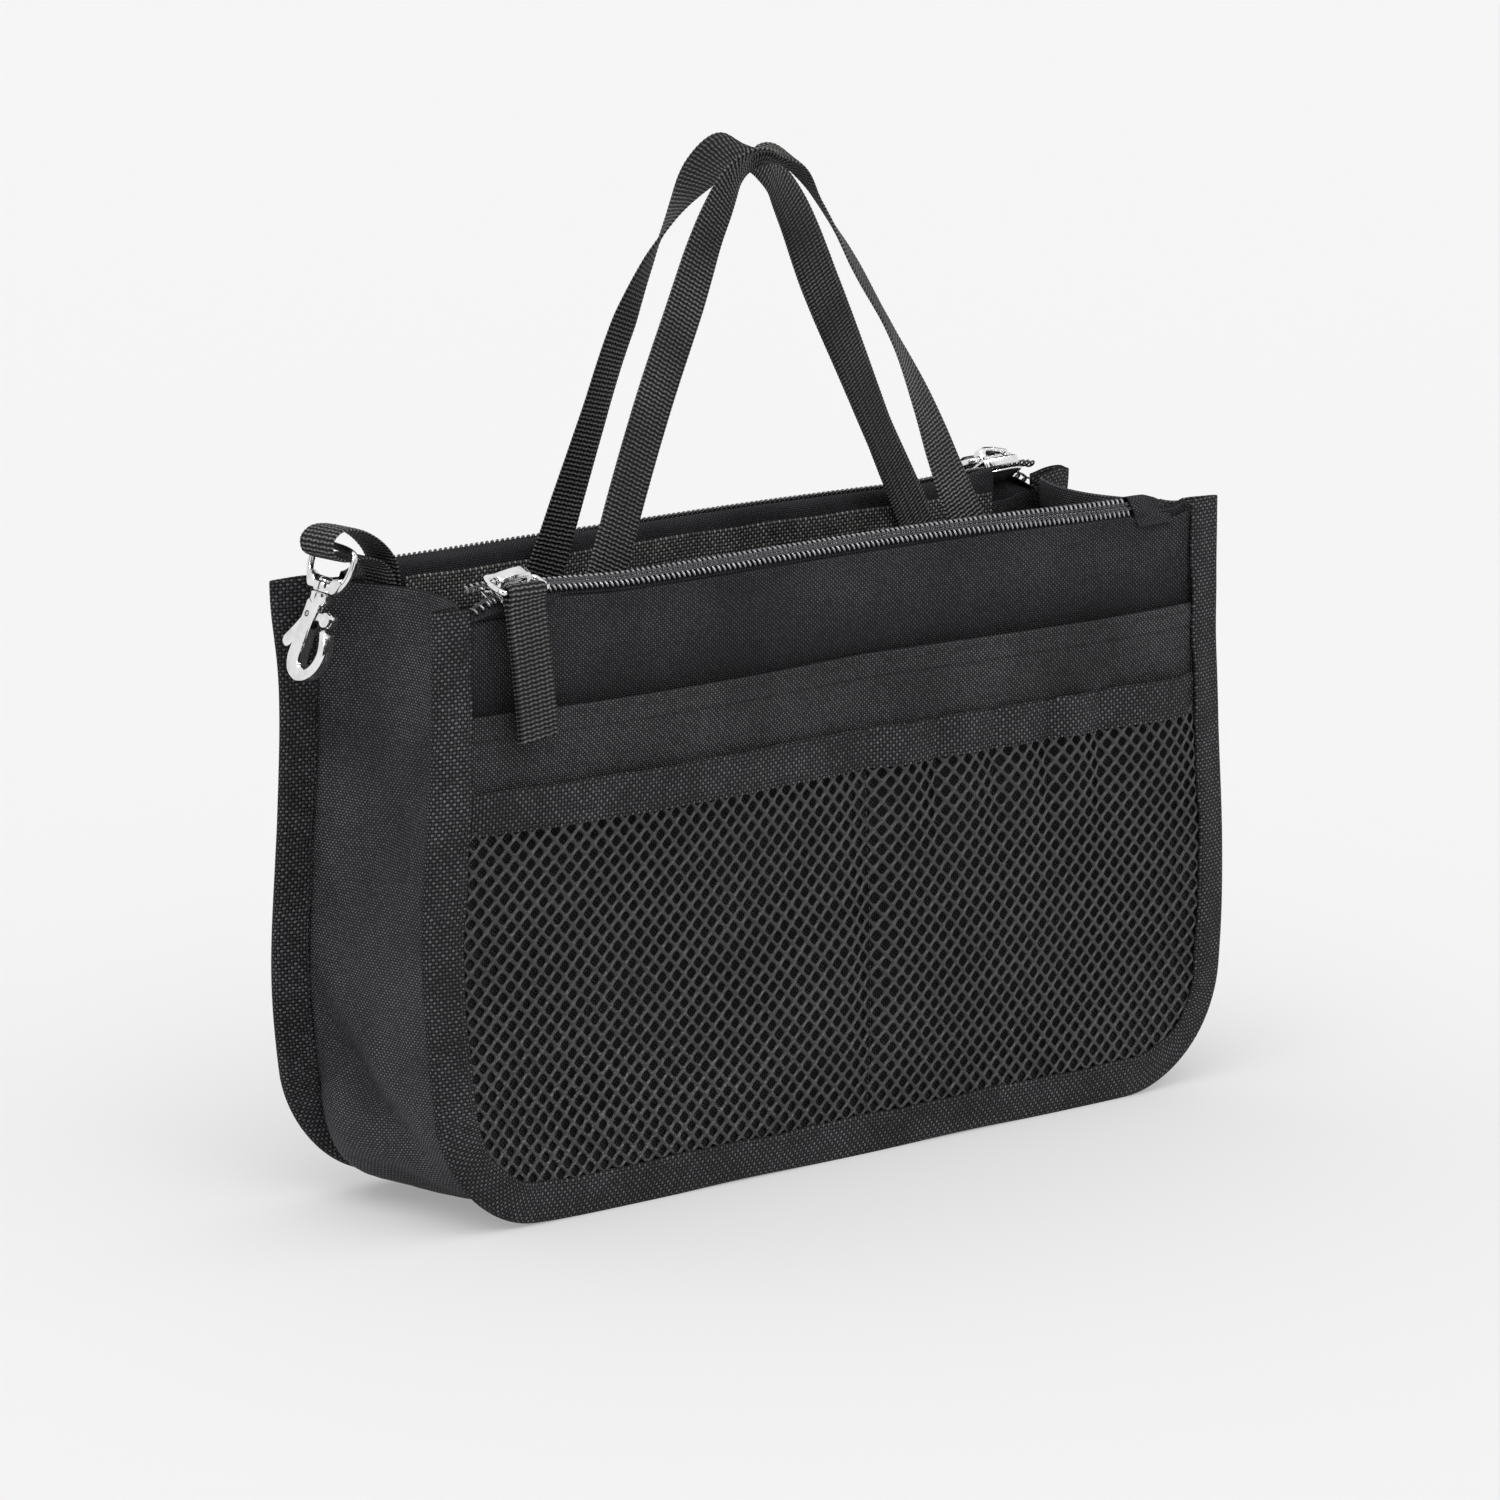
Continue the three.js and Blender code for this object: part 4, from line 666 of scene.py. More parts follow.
def wall_sheet(name, top, depth, paint, rear, replaced, columns=90, lift=None):
    """Its rows of points are closer together round the bottom corners."""
    inset, upper = SHEET_INSET + CLOTH / 2, top - CLOTH / 2
    radius, half = CORNER - inset, WIDTH / 2 - inset
    bend = CORNER - radius * np.cos(np.linspace(0, math.pi / 2, BEND_ROWS))
    z = np.concatenate([bend, np.linspace(CORNER, upper, UPPER_ROWS)[1:]])[:, None]
    reach = half - radius + np.sqrt(np.maximum(radius**2 - np.maximum(CORNER - z, 0) ** 2, 0))
    x = np.linspace(-1, 1, columns) * reach
    if lift:
        z = z + lift(x) * smooth(120, top, z)
    grid = joined(swell(x, z), CLOTH / 2 - depth(x, z), z)
    piece = new_piece(name, thick_sheet(grid, CLOTH, joined(x, z)), paint, rear, replaced=(replaced,))
    binding = ("rear" if rear else "front") + "_binding_tape"
    SHEETS.append((piece, (WIDTH - 2 * SHEET_INSET, top - SHEET_INSET), [binding], None))


# %% [markdown]
# Outer panel and slip pocket
# Both are the same cloth, cut to the wall's outline. The slip pocket's upper edge is folded over and
# stitched, so it is thicker than the rest and stands off the panel between its seams.

# %% Panels and slip pockets
for side, rear in SIDES:
    wall_sheet(side + "_panel", PANEL_TOP + 0.6, panel_depth, panel_paint, rear, side + "_outer_panel", 150, panel_lift)
    wall_sheet(side + "_slip_pocket_cloth", SLIP_TOP, slip_depth, cloth_paint if rear else slip_paint, rear,
               side + "_slip_pocket")
    x, z = np.meshgrid(np.linspace(-133, 133, 120), np.linspace(SLIP_TOP - 6.5, SLIP_TOP - 0.1, 6))
    grid = joined(swell(x, z), -(slip_depth(x, z) + 0.02), z)
    new_piece(side + "_slip_hem", thick_sheet(grid, HEM, joined(x, z)), slip_paint, rear)

# %% [markdown]
# The binding
# A woven tape is folded round the edge of every layer and sewn through them all. It could be swept
# along the edge as a curve with a bevel, but a curve can't change its section on the way. So its
# folded section is drawn as a list of points, which are carried along the wall's outline, and the
# front leg swells where it covers the pocket's tape and sinks where fewer layers lie under it.

# %% Carrying a section along the wall's edge
def edge_path(top):
    """Places, inward directions and run along a wall's edge, from the left top over the bottom."""
    half, steps = WIDTH / 2, int((top - CORNER) / 2.6)
    side = [(-half, z, 1.0, 0.0) for z in np.linspace(top, CORNER, steps + 1)[:-1]]
    arc = [(-half + CORNER * (1 - math.cos(a)), CORNER * (1 - math.sin(a)), math.cos(a), math.sin(a))
           for a in np.linspace(0, math.pi / 2, 23)]
    bottom = [(x, 0.0, 0.0, 1.0) for x in np.linspace(-half + CORNER, 0, 43)[1:]]
    left = np.array(side + arc + bottom)
    rows = np.concatenate([left, left[::-1][1:] * (-1, 1, -1, 1)])
    return rows[:, :2], rows[:, 2:], lengths(rows[:, :2])


def along_edge(place, inward, inset, depth):
    """Grid of points for sections given as insets from the edge and depths from the bag's middle."""
    x, z = (place[:, None, k] + inward[:, None, k] * inset for k in (0, 1))
    return joined(swell(x, z), -depth, z)


def side_by_side(count, *parts):
    """Sections of parts, where a part may be the same in every section."""
    return np.concatenate([np.broadcast_to(part, (count, np.shape(part)[-1])) for part in parts], 1)


# %% Both bindings
def leg_depth(z):
    """Depth of the binding's front leg: it rides over the pocket tape and sinks above each pocket."""
    over_tape = 0.45 * np.exp(-(((z - 115.5) / 8.5) ** 4))
    thin = 0.45 * smooth(124, 134, z) + 0.6 * smooth(143, 152, z) + 0.5 * smooth(160, 170, z)
    return BINDING_FACE - 0.3 + over_tape - thin


FOLD, BACK_POINTS = 2.2, 8
for side, rear in SIDES:
    place, inward, run = edge_path(HEIGHT - 0.3)
    seed, along = 1.7 * rear, run[:, None]
    front_end = FRONT_LEG - 0.3 + 0.22 * np.sin(along / 9.1 + seed) + 0.16 * np.sin(along / 3.7 + 2 * seed)
    rear_end = REAR_LEG - 0.35 + 0.12 * np.sin(along / 6.3 + seed)
    front, back = leg_depth(place[:, 1:]) + 0.1 * np.sin(along / 5.3 + seed), BINDING_BACK + 0.3
    share, turn = np.linspace(0, 1, 9), np.linspace(math.pi / 2, 1.5 * math.pi, 13)[1:-1]
    inset = side_by_side(len(run), front_end + (FOLD - front_end) * share, FOLD + (FOLD - 0.3) * np.cos(turn),
                         FOLD + (rear_end - FOLD) * np.linspace(0, 1, BACK_POINTS))
    puff = 0.14 * np.sin(np.pi * share) * (1 + 0.6 * np.sin(along / 4.4 + seed))
    depth = side_by_side(len(run), front + puff, (front + back) / 2 + (front - back) / 2 * np.sin(turn),
                         np.full(BACK_POINTS, back))
    inset = inset + 0.25 * np.sin(along / 13.0 + 3 * seed) * np.exp(-inset / 3)
    grid = along_edge(place, inward, inset, depth)
    new_piece(side + "_binding_tape", thick_sheet(grid, 0.6, joined(along, lengths(grid))), binding_paint,
              rear, replaced=(side + "_binding",))

# %% [markdown]
# Stitches
# Machine stitches are short arches of thread that dive into the cloth at both ends. One helper lays
# them along any line on a surface. Each is a small closed tube of five rings, pressed a little into
# the cloth, so a row reads as thread and not as a drawn dashed line.

# %% Rows of stitches
# Share of the stitch's length, lift and radius of each ring.
STITCH_RINGS = np.array([(0.0, -0.24, 0.06), (0.1, -0.02, 0.16), (0.5, 0.1, 0.2), (0.9, -0.02, 0.16),
                         (1.0, -0.24, 0.06)])
STITCH_LONG, STITCH_GAP, STITCH_SIDES = 1.25, 0.8, 5
STITCH_FACES = tube_faces(len(STITCH_RINGS), STITCH_SIDES)
OUTWARDS, INWARDS = np.array([(0.0, -1.0, 0.0), (0.0, 1.0, 0.0)])


def stitch_rows(name, rows, rear, body="bag", thick=0.8):
    """Stitches along each row of (line points, direction away from the cloth)."""
    share, lift, radius = STITCH_RINGS.T
    angle = np.arange(STITCH_SIDES) * 2 * math.pi / STITCH_SIDES
    points, flat = [], []
    for line, away in rows:
        run = lengths(line)
        starts = np.arange(STITCH_GAP / 2, run[-1] - STITCH_LONG, STITCH_LONG + STITCH_GAP)
        at = starts[:, None] + share * STITCH_LONG
        middle = points_at(at, run, line)
        aside = np.cross(unit(np.gradient(middle, axis=1)), away)
        ring = np.cos(angle)[:, None] * aside[:, :, None] + 0.8 * np.sin(angle)[:, None] * away
        centre = middle + ((lift + 0.08) * thick)[:, None] * away
        points.append((centre[:, :, None] + (radius * thick)[:, None, None] * ring).reshape(-1, 3))
        flat.append(joined(at[..., None] * 3, angle).reshape(-1, 2))
    points, flat = np.concatenate(points), np.concatenate(flat)
    size = len(STITCH_RINGS) * STITCH_SIDES
    faces = [[first + i for i in face] for first in range(0, len(points), size) for face in STITCH_FACES]
    return new_piece(name, (points, faces, flat), thread_paint, rear, body)


def wall_row(x, z, depth, lift=0.0, away=OUTWARDS):
    """A row along places on the wall, a little off one of its layers."""
    return joined(swell(x, z), -(depth(x, z) + lift), z), away


for side, rear in SIDES:
    place, inward, _ = edge_path(HEIGHT - 2)
    stitch_rows(side + "_binding_stitches", [
        (along_edge(place, inward, 10.3, leg_depth(place[:, 1:]) + 0.32)[:, 0], OUTWARDS),
        (along_edge(place, inward, 9.4, BINDING_BACK)[:, 0], INWARDS)], rear)
    x = np.linspace(-131, 131, 160)
    stitch_rows(side + "_wall_stitches", [
        wall_row(x, PANEL_TOP - 1.0 + panel_lift(x), panel_depth),
        wall_row(x, SLIP_TOP - 2.2, slip_depth, 0.3),
        wall_row(SLIP_SEAM, np.linspace(122, SLIP_TOP - 1, 20), slip_depth, 0.25)], rear)

# %% [markdown]
# The net pocket
# The lower front pocket is a knitted net of diamond meshes. It could be a flat sheet with the holes
# painted as transparency, but then its strands would have no thickness at the edges of the holes.
# Here every mesh is built: a diamond of strands whose middle line stands proud, round a rounded hole.

# %% The net
SIDE_STEPS, HALF_HOLE = 3, (1.42, 1.5)


def net_cells(low, high):
    """Middles of the meshes: one grid of them, and another halfway between."""
    i, j = (part.ravel() for part in np.meshgrid(np.arange(-30, 31), np.arange(int(high / CELL_Z) + 2)))
    x, z = np.concatenate([(CELL_X * (i + 0.5), CELL_Z * j), (CELL_X * i, CELL_Z * (j + 0.5))], 1)
    kept = (low < z) & (z < high) & (inset_of(x, z) > 4.2)
    return joined(x, z)[kept]


def net_pocket(name):
    cells = net_cells(4.5, NET_TOP + 1.5)[:, None]
    corners = np.array([(CELL_X / 2, 0), (0, CELL_Z / 2), (-CELL_X / 2, 0), (0, -CELL_Z / 2)])[:, None]
    steps = (np.arange(SIDE_STEPS) / SIDE_STEPS)[:, None]
    outer = (corners + (np.roll(corners, -1, 0) - corners) * steps).reshape(-1, 2)
    angle = np.arctan2(outer[:, 1] / CELL_Z, outer[:, 0] / CELL_X)
    way = joined(np.cos(angle), np.sin(angle))
    hole = HALF_HOLE * np.sign(way) * np.abs(way) ** 1.3
    uneven = 1 + 0.072 * np.sin(cells[..., :1] * 1.3 + cells[..., 1:] * 0.7)
    shared, index = np.unique(np.round((cells + outer).reshape(-1, 2), 3), axis=0, return_inverse=True)
    size, count = len(shared), len(cells) * len(outer)
    mids, holes = cells + 0.55 * outer + 0.45 * hole, cells + hole * uneven
    places = np.concatenate([shared, shared, mids.reshape(-1, 2), holes.reshape(-1, 2)])
    lift = np.repeat([0.36, -0.3, 0.26, -0.02], [size, size, count, count])
    from_knot = np.abs(np.mod(places / (CELL_X / 2, CELL_Z / 2) + 0.5, 1) - 0.5)
    lift = lift + 0.12 * np.sign(lift) * (from_knot < 0.1).all(1)
    across, up = places.T
    x = across + 0.35 * np.sin(up / 17 + across / 41) + 0.2 * np.sin(up / 7.1)
    z = up + 0.35 * np.sin(across / 13 + up / 37)
    points = joined(swell(x, z), -(net_depth(x, z) - 0.25 + lift), z)
    a = index.reshape(len(cells), -1)
    m = 2 * size + np.arange(count).reshape(a.shape)
    b, m2 = np.roll(a, -1, 1), np.roll(m, -1, 1)
    h, h2 = m + count, m2 + count
    faces = [np.stack(q, -1).reshape(-1, 4) for q in ((a, b, m2, m), (m, m2, h2, h), (h, h2, size + b, size + a))]
    ends = np.stack([a, b], -1).reshape(-1, 2)
    _, first, used = np.unique(np.sort(ends, 1), axis=0, return_index=True, return_counts=True)
    a, b = ends[first[used == 1]].T
    faces.append(np.stack([b, a, size + a, size + b], -1))
    made = points, np.concatenate(faces).tolist(), places
    return new_piece(name, made, net_paint, replaced=("front_net_pocket",))


SHEETS.append((net_pocket("front_net"), (279.6, 106.7), ["front_binding_tape", "front_net_tape"], 0.62))

# %% [markdown]
# Pocket tapes
# The top edge of a pocket is closed by the same coarse tape as the walls, folded over it. Its folded
# section is a narrow hook, carried across the wall, and the rows of stitches at the pen loops pull it
# back to the wall.

# %% Folded tapes and the rear lower pocket
def folded_tape(name, low, top, half, depth, rear, replaced, columns=190, gap=0.36, paint=binding_paint, notches=()):
    x = np.linspace(-half, half, columns)[:, None]
    turn = np.linspace(0, math.pi, 9)[1:-1]
    rise = np.concatenate([np.linspace(low, top - gap, 9), top - gap + gap * np.sin(turn),
                           np.linspace(top - gap, low + 1.2, 5)])
    out = np.concatenate([np.full(9, gap), gap * np.cos(turn), np.full(5, -gap)])
    z = rise + 0.12 * np.sin(x / 5.1)
    for mark in notches:
        z = z - bell(x, mark, 2.2) * smooth(low + 3, top, rise)
    puff = 0.1 * np.sin(x / 3.3) * hump(z, low, top)
    grid = joined(swell(x, z), -(depth(x, z) + out + puff), z)
    made = thick_sheet(grid, 0.4, joined(x, lengths(grid) + low))
    new_piece(name, made, paint, rear, replaced=(replaced,))


def tape_depth(x, free):
    """Middle depth of a lower pocket's tape. Its ends run flat under the bindings."""
    end = smooth(126, 133, np.abs(x))
    return free * (1 - end) + (NET_FACE - 0.12) * end


def net_tape_depth(x, z):
    return tape_depth(x, net_depth(x, NET_TOP + 3) + 0.05)


def lower_tape_depth(x, z):
    return tape_depth(x, lower_depth(x, NET_TOP + 3) + 0.25)


TAPE_LOW, TAPE_TOP, TAPE_HALF = NET_TOP + 0.2, NET_TOP + 11.4, 138.5
folded_tape("front_net_tape", TAPE_LOW, TAPE_TOP, TAPE_HALF, net_tape_depth, False, "front_net_pocket_tape",
            columns=260, notches=PEN_LOOPS)
folded_tape("rear_lower_tape", TAPE_LOW, TAPE_TOP, TAPE_HALF, lower_tape_depth, True, "rear_lower_pocket_tape")
wall_sheet("rear_lower_cloth", NET_TOP + 2.0, lower_depth, cloth_paint, True, "rear_lower_pocket")

x = np.linspace(-131, 131, 170)
rows = [wall_row(x, TAPE_LOW + 1.3, net_tape_depth, 0.6)]
for place in (PEN_LOOPS[0] - 0.8, PEN_LOOPS[0] + 0.8, *PEN_LOOPS[1:]):
    rows.append(wall_row(place, np.linspace(TAPE_LOW + 0.3, TAPE_TOP - 0.2, 12), net_tape_depth, 0.6))
rows.append(wall_row(PEN_LOOPS[0], np.linspace(14, NET_TOP - 1, 60), net_depth, 0.2))
stitch_rows("front_tape_stitches", rows, False)
stitch_rows("rear_tape_stitches", [wall_row(x, TAPE_LOW + 1.3, lower_tape_depth, 0.6)], True)

# %% [markdown]
# The inner walls and inner pockets
# Each zipped pouch lies between an outer panel and an inner wall. The inner wall leaves the seams at
# a slant and stands off by the depth of the pouch. A flat pocket is sewn to its face in the middle
# compartment, with the coarse tape over its top edge.

# %% Inner walls, inner pockets and their tapes
INNER_HALF, INNER_LOW, INNER_TOP, INNER_SEAM = 107.0, 64.0, 159.0, -12.0


def inner_wave(x, z):
    hold = smooth(WIDTH / 2 - 36, WIDTH / 2 - 70, np.abs(x)) * smooth(30, 70, z) * smooth(PANEL_TOP + 2, 150, z)
    return hold * (0.8 * np.sin(x / 38 + 1.1) * np.cos(z / 27) + 0.4 * np.sin(x / 17 + z / 23))


def inner_wall_depth(x, z):
    sideways, upward = smooth(0, 22, WIDTH / 2 - FRONT_LEG - np.abs(x)), smooth(0, 45, z - FRONT_LEG)
    seam = smooth(0, FRONT_LEG, inset_of(x, z) - FRONT_LEG)
    return WALL_EDGE_FACE + (WALL_FACE - WALL_EDGE_FACE) * sideways * upward * seam + inner_wave(x, z)


def inner_pocket_depth(x, z):
    belly = 0.5 * smooth(80, 150, z) * np.cos(np.clip(x / INNER_HALF, -1, 1) * np.pi / 2)
    return POCKET_FACE - 0.05 + inner_wave(x, z) - belly


def inner_tape_depth(x, z):
    return inner_pocket_depth(x, INNER_TOP - 2) - 0.3


for side, rear in SIDES:
    wall_sheet(side + "_pouch_wall", PANEL_TOP, inner_wall_depth, cloth_paint, rear, side + "_inner_wall")
    x, z = np.meshgrid(np.linspace(-INNER_HALF, INNER_HALF, 90), np.linspace(INNER_LOW, INNER_TOP, 40))
    made = thick_sheet(joined(x, CLOTH / 2 - inner_pocket_depth(x, z), z), CLOTH, joined(x, z))
    pocket = new_piece(side + "_inner_pocket_cloth", made, cloth_paint, rear,
                       replaced=(side + "_inner_pocket",))
    SHEETS.append((pocket, (2 * INNER_HALF, INNER_TOP - INNER_LOW), [side + "_pouch_wall"], None))
    folded_tape(side + "_inner_tape", 157.7, 169.0, INNER_HALF + 0.5, inner_tape_depth, rear,
                side + "_inner_pocket_tape", columns=120, gap=0.25, paint=lit_pocket_tape_paint)
    x, z = np.linspace(1 - INNER_HALF, INNER_HALF - 1, 120), np.linspace(INNER_LOW + 2, INNER_TOP - 2, 50)
    rows = [wall_row(x, INNER_TOP, inner_tape_depth, -0.5, INWARDS),
            wall_row(INNER_SEAM, np.linspace(158.5, 168.5, 12), inner_tape_depth, -0.5, INWARDS)]
    for place in (INNER_SEAM, 1.5 - INNER_HALF, INNER_HALF - 1.5):
        rows.append(wall_row(place, z, inner_pocket_depth, -0.5, INWARDS))
    stitch_rows(side + "_inner_stitches", rows, rear)

# %% [markdown]
# The gusset
# One strip makes the left side, the bottom and the right side. Its edges are turned outwards into
# the bindings, and its ends are drawn in at the top, because nothing holds them apart there. A flat
# strip would look like card, so its middle sags between the seams and it carries a few soft folds
# that run from the corners, as thin polyester does where it is turned round a bend.

# %% The gusset's folds
# Height, slant, distance from the strip's end, width and lopsidedness of each fold.
SOFT_FOLDS = ((3.2, 26, 143, 7, 0.3), (-1.9, 26, 128, 7, 0), (2.0, 13, 166, 5, 0), (-1.3, 34, 106, 8, 0),
              (2.1, -30, 62, 8, 0), (-1.3, -30, 44, 8, 0))


def gusset_folds(run, s, total):
    """How far the web is pushed inwards at a place along the strip and across it (-1 to 1)."""
    middle, filled = 1 - s**2, 1 - s**14
    slow = 0.7 * np.sin(run / 21 + 1.3 * s) + 0.35 * np.sin(run / 9.7 - 2.1 * s + 1)
    pushed = 0.6 * middle * slow * smooth(0, 20, run) * smooth(0, 20, total - run)
    for gone, lean, full, rear_full in ((run, 1, 6.6, 6.5), (total - run, -1, 6.0, 1.0)):
        bulge = full * bell(gone, 170, 27) + rear_full * bell(gone, 160, 15) * bell(s, -0.55, 0.45)
        pushed = pushed - bulge * filled
        for high, slant, place, wide, lopsided in SOFT_FOLDS:
            pushed = pushed + high * bell(gone - slant * s * lean, place, wide) * middle * (1 - lopsided * s)
    return pushed


def gusset_grid(top, columns=27):
    place, inward, run = edge_path(top)
    seam, corner, web = FLANGE_FACE - 0.25, 1.2, 11.45
    rise = np.clip((place[:, 1] - 59.85) / (170 - 59.85), 0, 1)
    draw = 10 * rise**1.5 - 2.5 * np.maximum(inward[:, 1], 0) ** 4
    turn = np.linspace(0, math.pi / 2, 5)[1:]
    edge_inset = np.concatenate([np.linspace(2.2, web - corner, 6), web - corner + corner * np.sin(turn)])
    edge_depth = np.concatenate([np.full(6, seam), seam - corner + corner * np.cos(turn)])
    across = np.linspace(1, -1, columns)[1:-1] * (seam - corner)
    inset = np.concatenate([edge_inset, np.full(columns - 2, web), edge_inset[::-1]])
    depth = np.concatenate([edge_depth, across, -edge_depth[::-1]])
    s = np.clip(depth / (seam - corner), -1, 1)
    inset = inset + (1 - s**2) * draw[:, None] + gusset_folds(run[:, None], s, run[-1])
    return along_edge(place, inward, inset, depth), run


grid, run = gusset_grid(170.0)
flat = joined(run[:, None], lengths(grid))
gusset = new_piece("gusset_cloth", thick_sheet(grid, CLOTH, flat), lit_gusset_paint, replaced=("gusset",))
flat_size = (float(flat[:, -1, 1].max()), float(run[-1]))
SHEETS.append((gusset, flat_size, ["front_binding_tape", "rear_binding_tape"], None))
for label, kept, inwards in (("left", slice(0, 4), 0.5), ("right", slice(-4, None), -0.5)):
    hem = grid[kept, 9:-9] + (inwards, 0, 0)
    new_piece("gusset_hem_" + label, thick_sheet(hem, HEM, flat[kept, 9:-9]), lit_gusset_paint)

# %% [markdown]
# Zip tapes
# Each zip has two tapes that leave the cloth's edge, turn over and lie at a slant, with the chain on
# top. Where the chain is open, at the slider's end, the outer tape turns down into the binding, which
# leaves the small dark gap that the photograph shows. A tape is a section carried along the bag, and
# the section itself bends on the way.

# %% Places in the zip's own frame
def zip_tilt(x):
    """The chain rolls towards the wall's face on its way from the slider to its closed end."""
    return ZIP_TILT + math.radians(8) * smooth(-100, -50, x) + math.radians(25) * smooth(10, 105, x)


def zip_point(across, off, tilt=ZIP_TILT):
    """Depth and height of a point across the chain (inwards and up is positive) and off its face."""
    return np.stack([ZIP_DEPTH - across * np.cos(tilt) + off * np.sin(tilt),
                     ZIP_HEIGHT + across * np.sin(tilt) + off * np.cos(tilt)], -1)


def row_spread(x):
    """How far each row stands off the closed line, left of the slider's middle."""
    return 1.8 * (1 - np.exp(-np.maximum(ZIP_PARK + 0.5 - x, 0) / 3.2))


def row_fall(x, side):
    """The outer row turns down towards the binding at the open end."""
    return (4.6 if side < 0 else 1.6) * np.clip((-121.5 - x) / 9.5, 0, 1.05) ** 1.6


def sections(x, points):
    """A softly bent section for each place along the bag, by cutting the corners of one through points."""
    path = np.stack([np.broadcast_to(point, (len(x), 2)) for point in points], 1)
    for _ in range(2):
        first, second = path[:, :-1], path[:, 1:]
        cut = np.stack([0.75 * first + 0.25 * second, 0.25 * first + 0.75 * second], 2).reshape(len(x), -1, 2)
        path = np.concatenate([path[:, :1], cut, path[:, -1:]], 1)
    return path


# %% Outer and inner tapes
def beside_and_beyond(x, near, far):
    """One section beside the slider, and another everywhere else."""
    close = smooth(-109, -98, x)[:, None, None]
    return sections(x, near) * (1 - close) + sections(x, far) * close


def outer_section(x):
    """Wide and open beside the slider, and turned down close to the chain everywhere else."""
    tilt, down = zip_tilt(x), [(31.85, 165.8), (31.85, 158.0)]
    near = [zip_point(-1.3, 0.0), zip_point(-3.8, 0.0), zip_point(-5.0, -0.3), (33.9, 168.6), (32.5, 167.2)]
    far = [zip_point(-1.3, 0.0, tilt), zip_point(-2.2, -0.1, tilt), (32.3, 170.9), (32.05, 169.9), (31.9, 168.5)]
    return beside_and_beyond(x, near + down, far + down)


def inner_section(x):
    tilt, behind = zip_tilt(x), WALL_FACE + 0.55
    last = zip_point((ZIP_DEPTH - behind) / math.cos(ZIP_TILT), 0.0)
    near = [zip_point(1.3, 0.0), zip_point(4.0, 0.0), last, (behind, 173.0), (behind, 170.0)]
    far = [zip_point(1.3, 0.0, tilt), zip_point(2.8, 0.0, tilt), zip_point(3.5, -0.5, tilt),
           (26.0, 173.0), (behind, 170.5)]
    return beside_and_beyond(x, near + [(behind, 158.0)], far + [(behind, 158.0)])


def zip_tape(name, side, section_at, end, rear, replaced, free):
    x = np.linspace(-end, end, 220)
    section, x = section_at(x), x[:, None]
    share = np.linspace(1, 0, section.shape[1])
    loose = np.clip((share - (1 - free)) / free, 0, 1)
    spread, fall = row_spread(x) * loose * side, row_fall(x, side) * loose
    ripple = 0.18 * np.sin(x / 6.7 + side) * np.sin(np.pi * share)
    depth = section[..., 0] - spread * math.cos(ZIP_TILT) - fall * math.sin(ZIP_TILT) + ripple
    z = section[..., 1] + spread * math.sin(ZIP_TILT) - fall * math.cos(ZIP_TILT)
    grid = joined(x, -depth, z)
    made = thick_sheet(grid, CLOTH, joined(x, lengths(grid)))
    new_piece(name, made, tape_paint, rear, replaced=(replaced,))


for side, rear in SIDES:
    zip_tape(side + "_outer_tape", -1, outer_section, 131.3, rear, side + "_outer_zip_tape", 0.75)
    zip_tape(side + "_inner_tape_cloth", 1, inner_section, 109.8, rear, side + "_inner_zip_tape", 0.6)

# %% [markdown]
# The zip chain
# A coil zip is one springy wire per row, wound round and round and sewn to the tape. Two rows mesh in the middle. It
# could be a row of blocks, but the gleam of this zip comes from round turns. So each row is one unbroken wire in real
# turns, with the two sewing threads that press it to the tape. A painted highlight on the crown of each turn adds to
# the lamps' gleam.

# %% Winding the coils
TURN, TURN_POINTS, WIRE_SIDES = 1.8, 13, 5


def tube(points, radius, aside):
    """A closed round tube along points: (points, faces, flat places)."""
    along = unit(np.gradient(points, axis=0))
    across = unit(np.cross(along, aside))
    angle = np.arange(WIRE_SIDES) * 2 * math.pi / WIRE_SIDES
    ring = np.cos(angle)[:, None] * across[:, None] + np.sin(angle)[:, None] * np.cross(along, across)[:, None]
    flat = joined(lengths(points)[:, None], angle * radius)
    return (points[:, None] + radius * ring).reshape(-1, 3), tube_faces(len(points), WIRE_SIDES), flat.reshape(-1, 2)


def chain_place(x, across, off, side):
    place = zip_point(across + side * row_spread(x), off - row_fall(x, side), zip_tilt(x))
    return joined(x, -place[:, 0], place[:, 1])


def coil_row(name, side, rear, replaced):
    start = -130.0 + (TURN / 2 if side > 0 else 0)
    turns = int((CHAIN_END - 0.3 - start) / TURN)
    angle = np.arange(turns * TURN_POINTS + 1) * 2 * math.pi / TURN_POINTS
    x = start + TURN * angle / (2 * math.pi) + 0.22 * np.sin(angle)
    across = side * (1.12 - 1.42 * np.cos(angle + 0.3))
    off = 1.36 + 0.62 * np.sin(angle + 0.3)
    points, faces, flat = tube(chain_place(x, across, off, side), 0.33, (1.0, 0.0, 0.0))
    flat[:, 0] = np.repeat(angle / (2 * math.pi) * PHASE_UNITS, WIRE_SIDES)
    new_piece(name, (points, faces, flat), coil_paint, rear, replaced=(replaced,))
    x = np.arange(start + 0.5, CHAIN_END - 0.5, TURN / 4)
    dip = 0.16 * np.cos(2 * np.pi * (x - start) / TURN)
    first, second = (tube(chain_place(x, side * lane, 2.2 + dip, side), 0.17, (0.0, 1.0, 0.2)) for lane in (0.45, 0.95))
    faces = first[1] + [tuple(i + len(first[0]) for i in face) for face in second[1]]
    made = np.concatenate([first[0], second[0]]), faces, np.concatenate([first[2], second[2]])
    new_piece(name + "_thread", made, core_paint, rear)


for side, rear in SIDES:
    coil_row(side + "_outer_coil", -1, rear, side + "_outer_zip_teeth")
    coil_row(side + "_inner_coil", 1, rear, side + "_inner_zip_teeth")

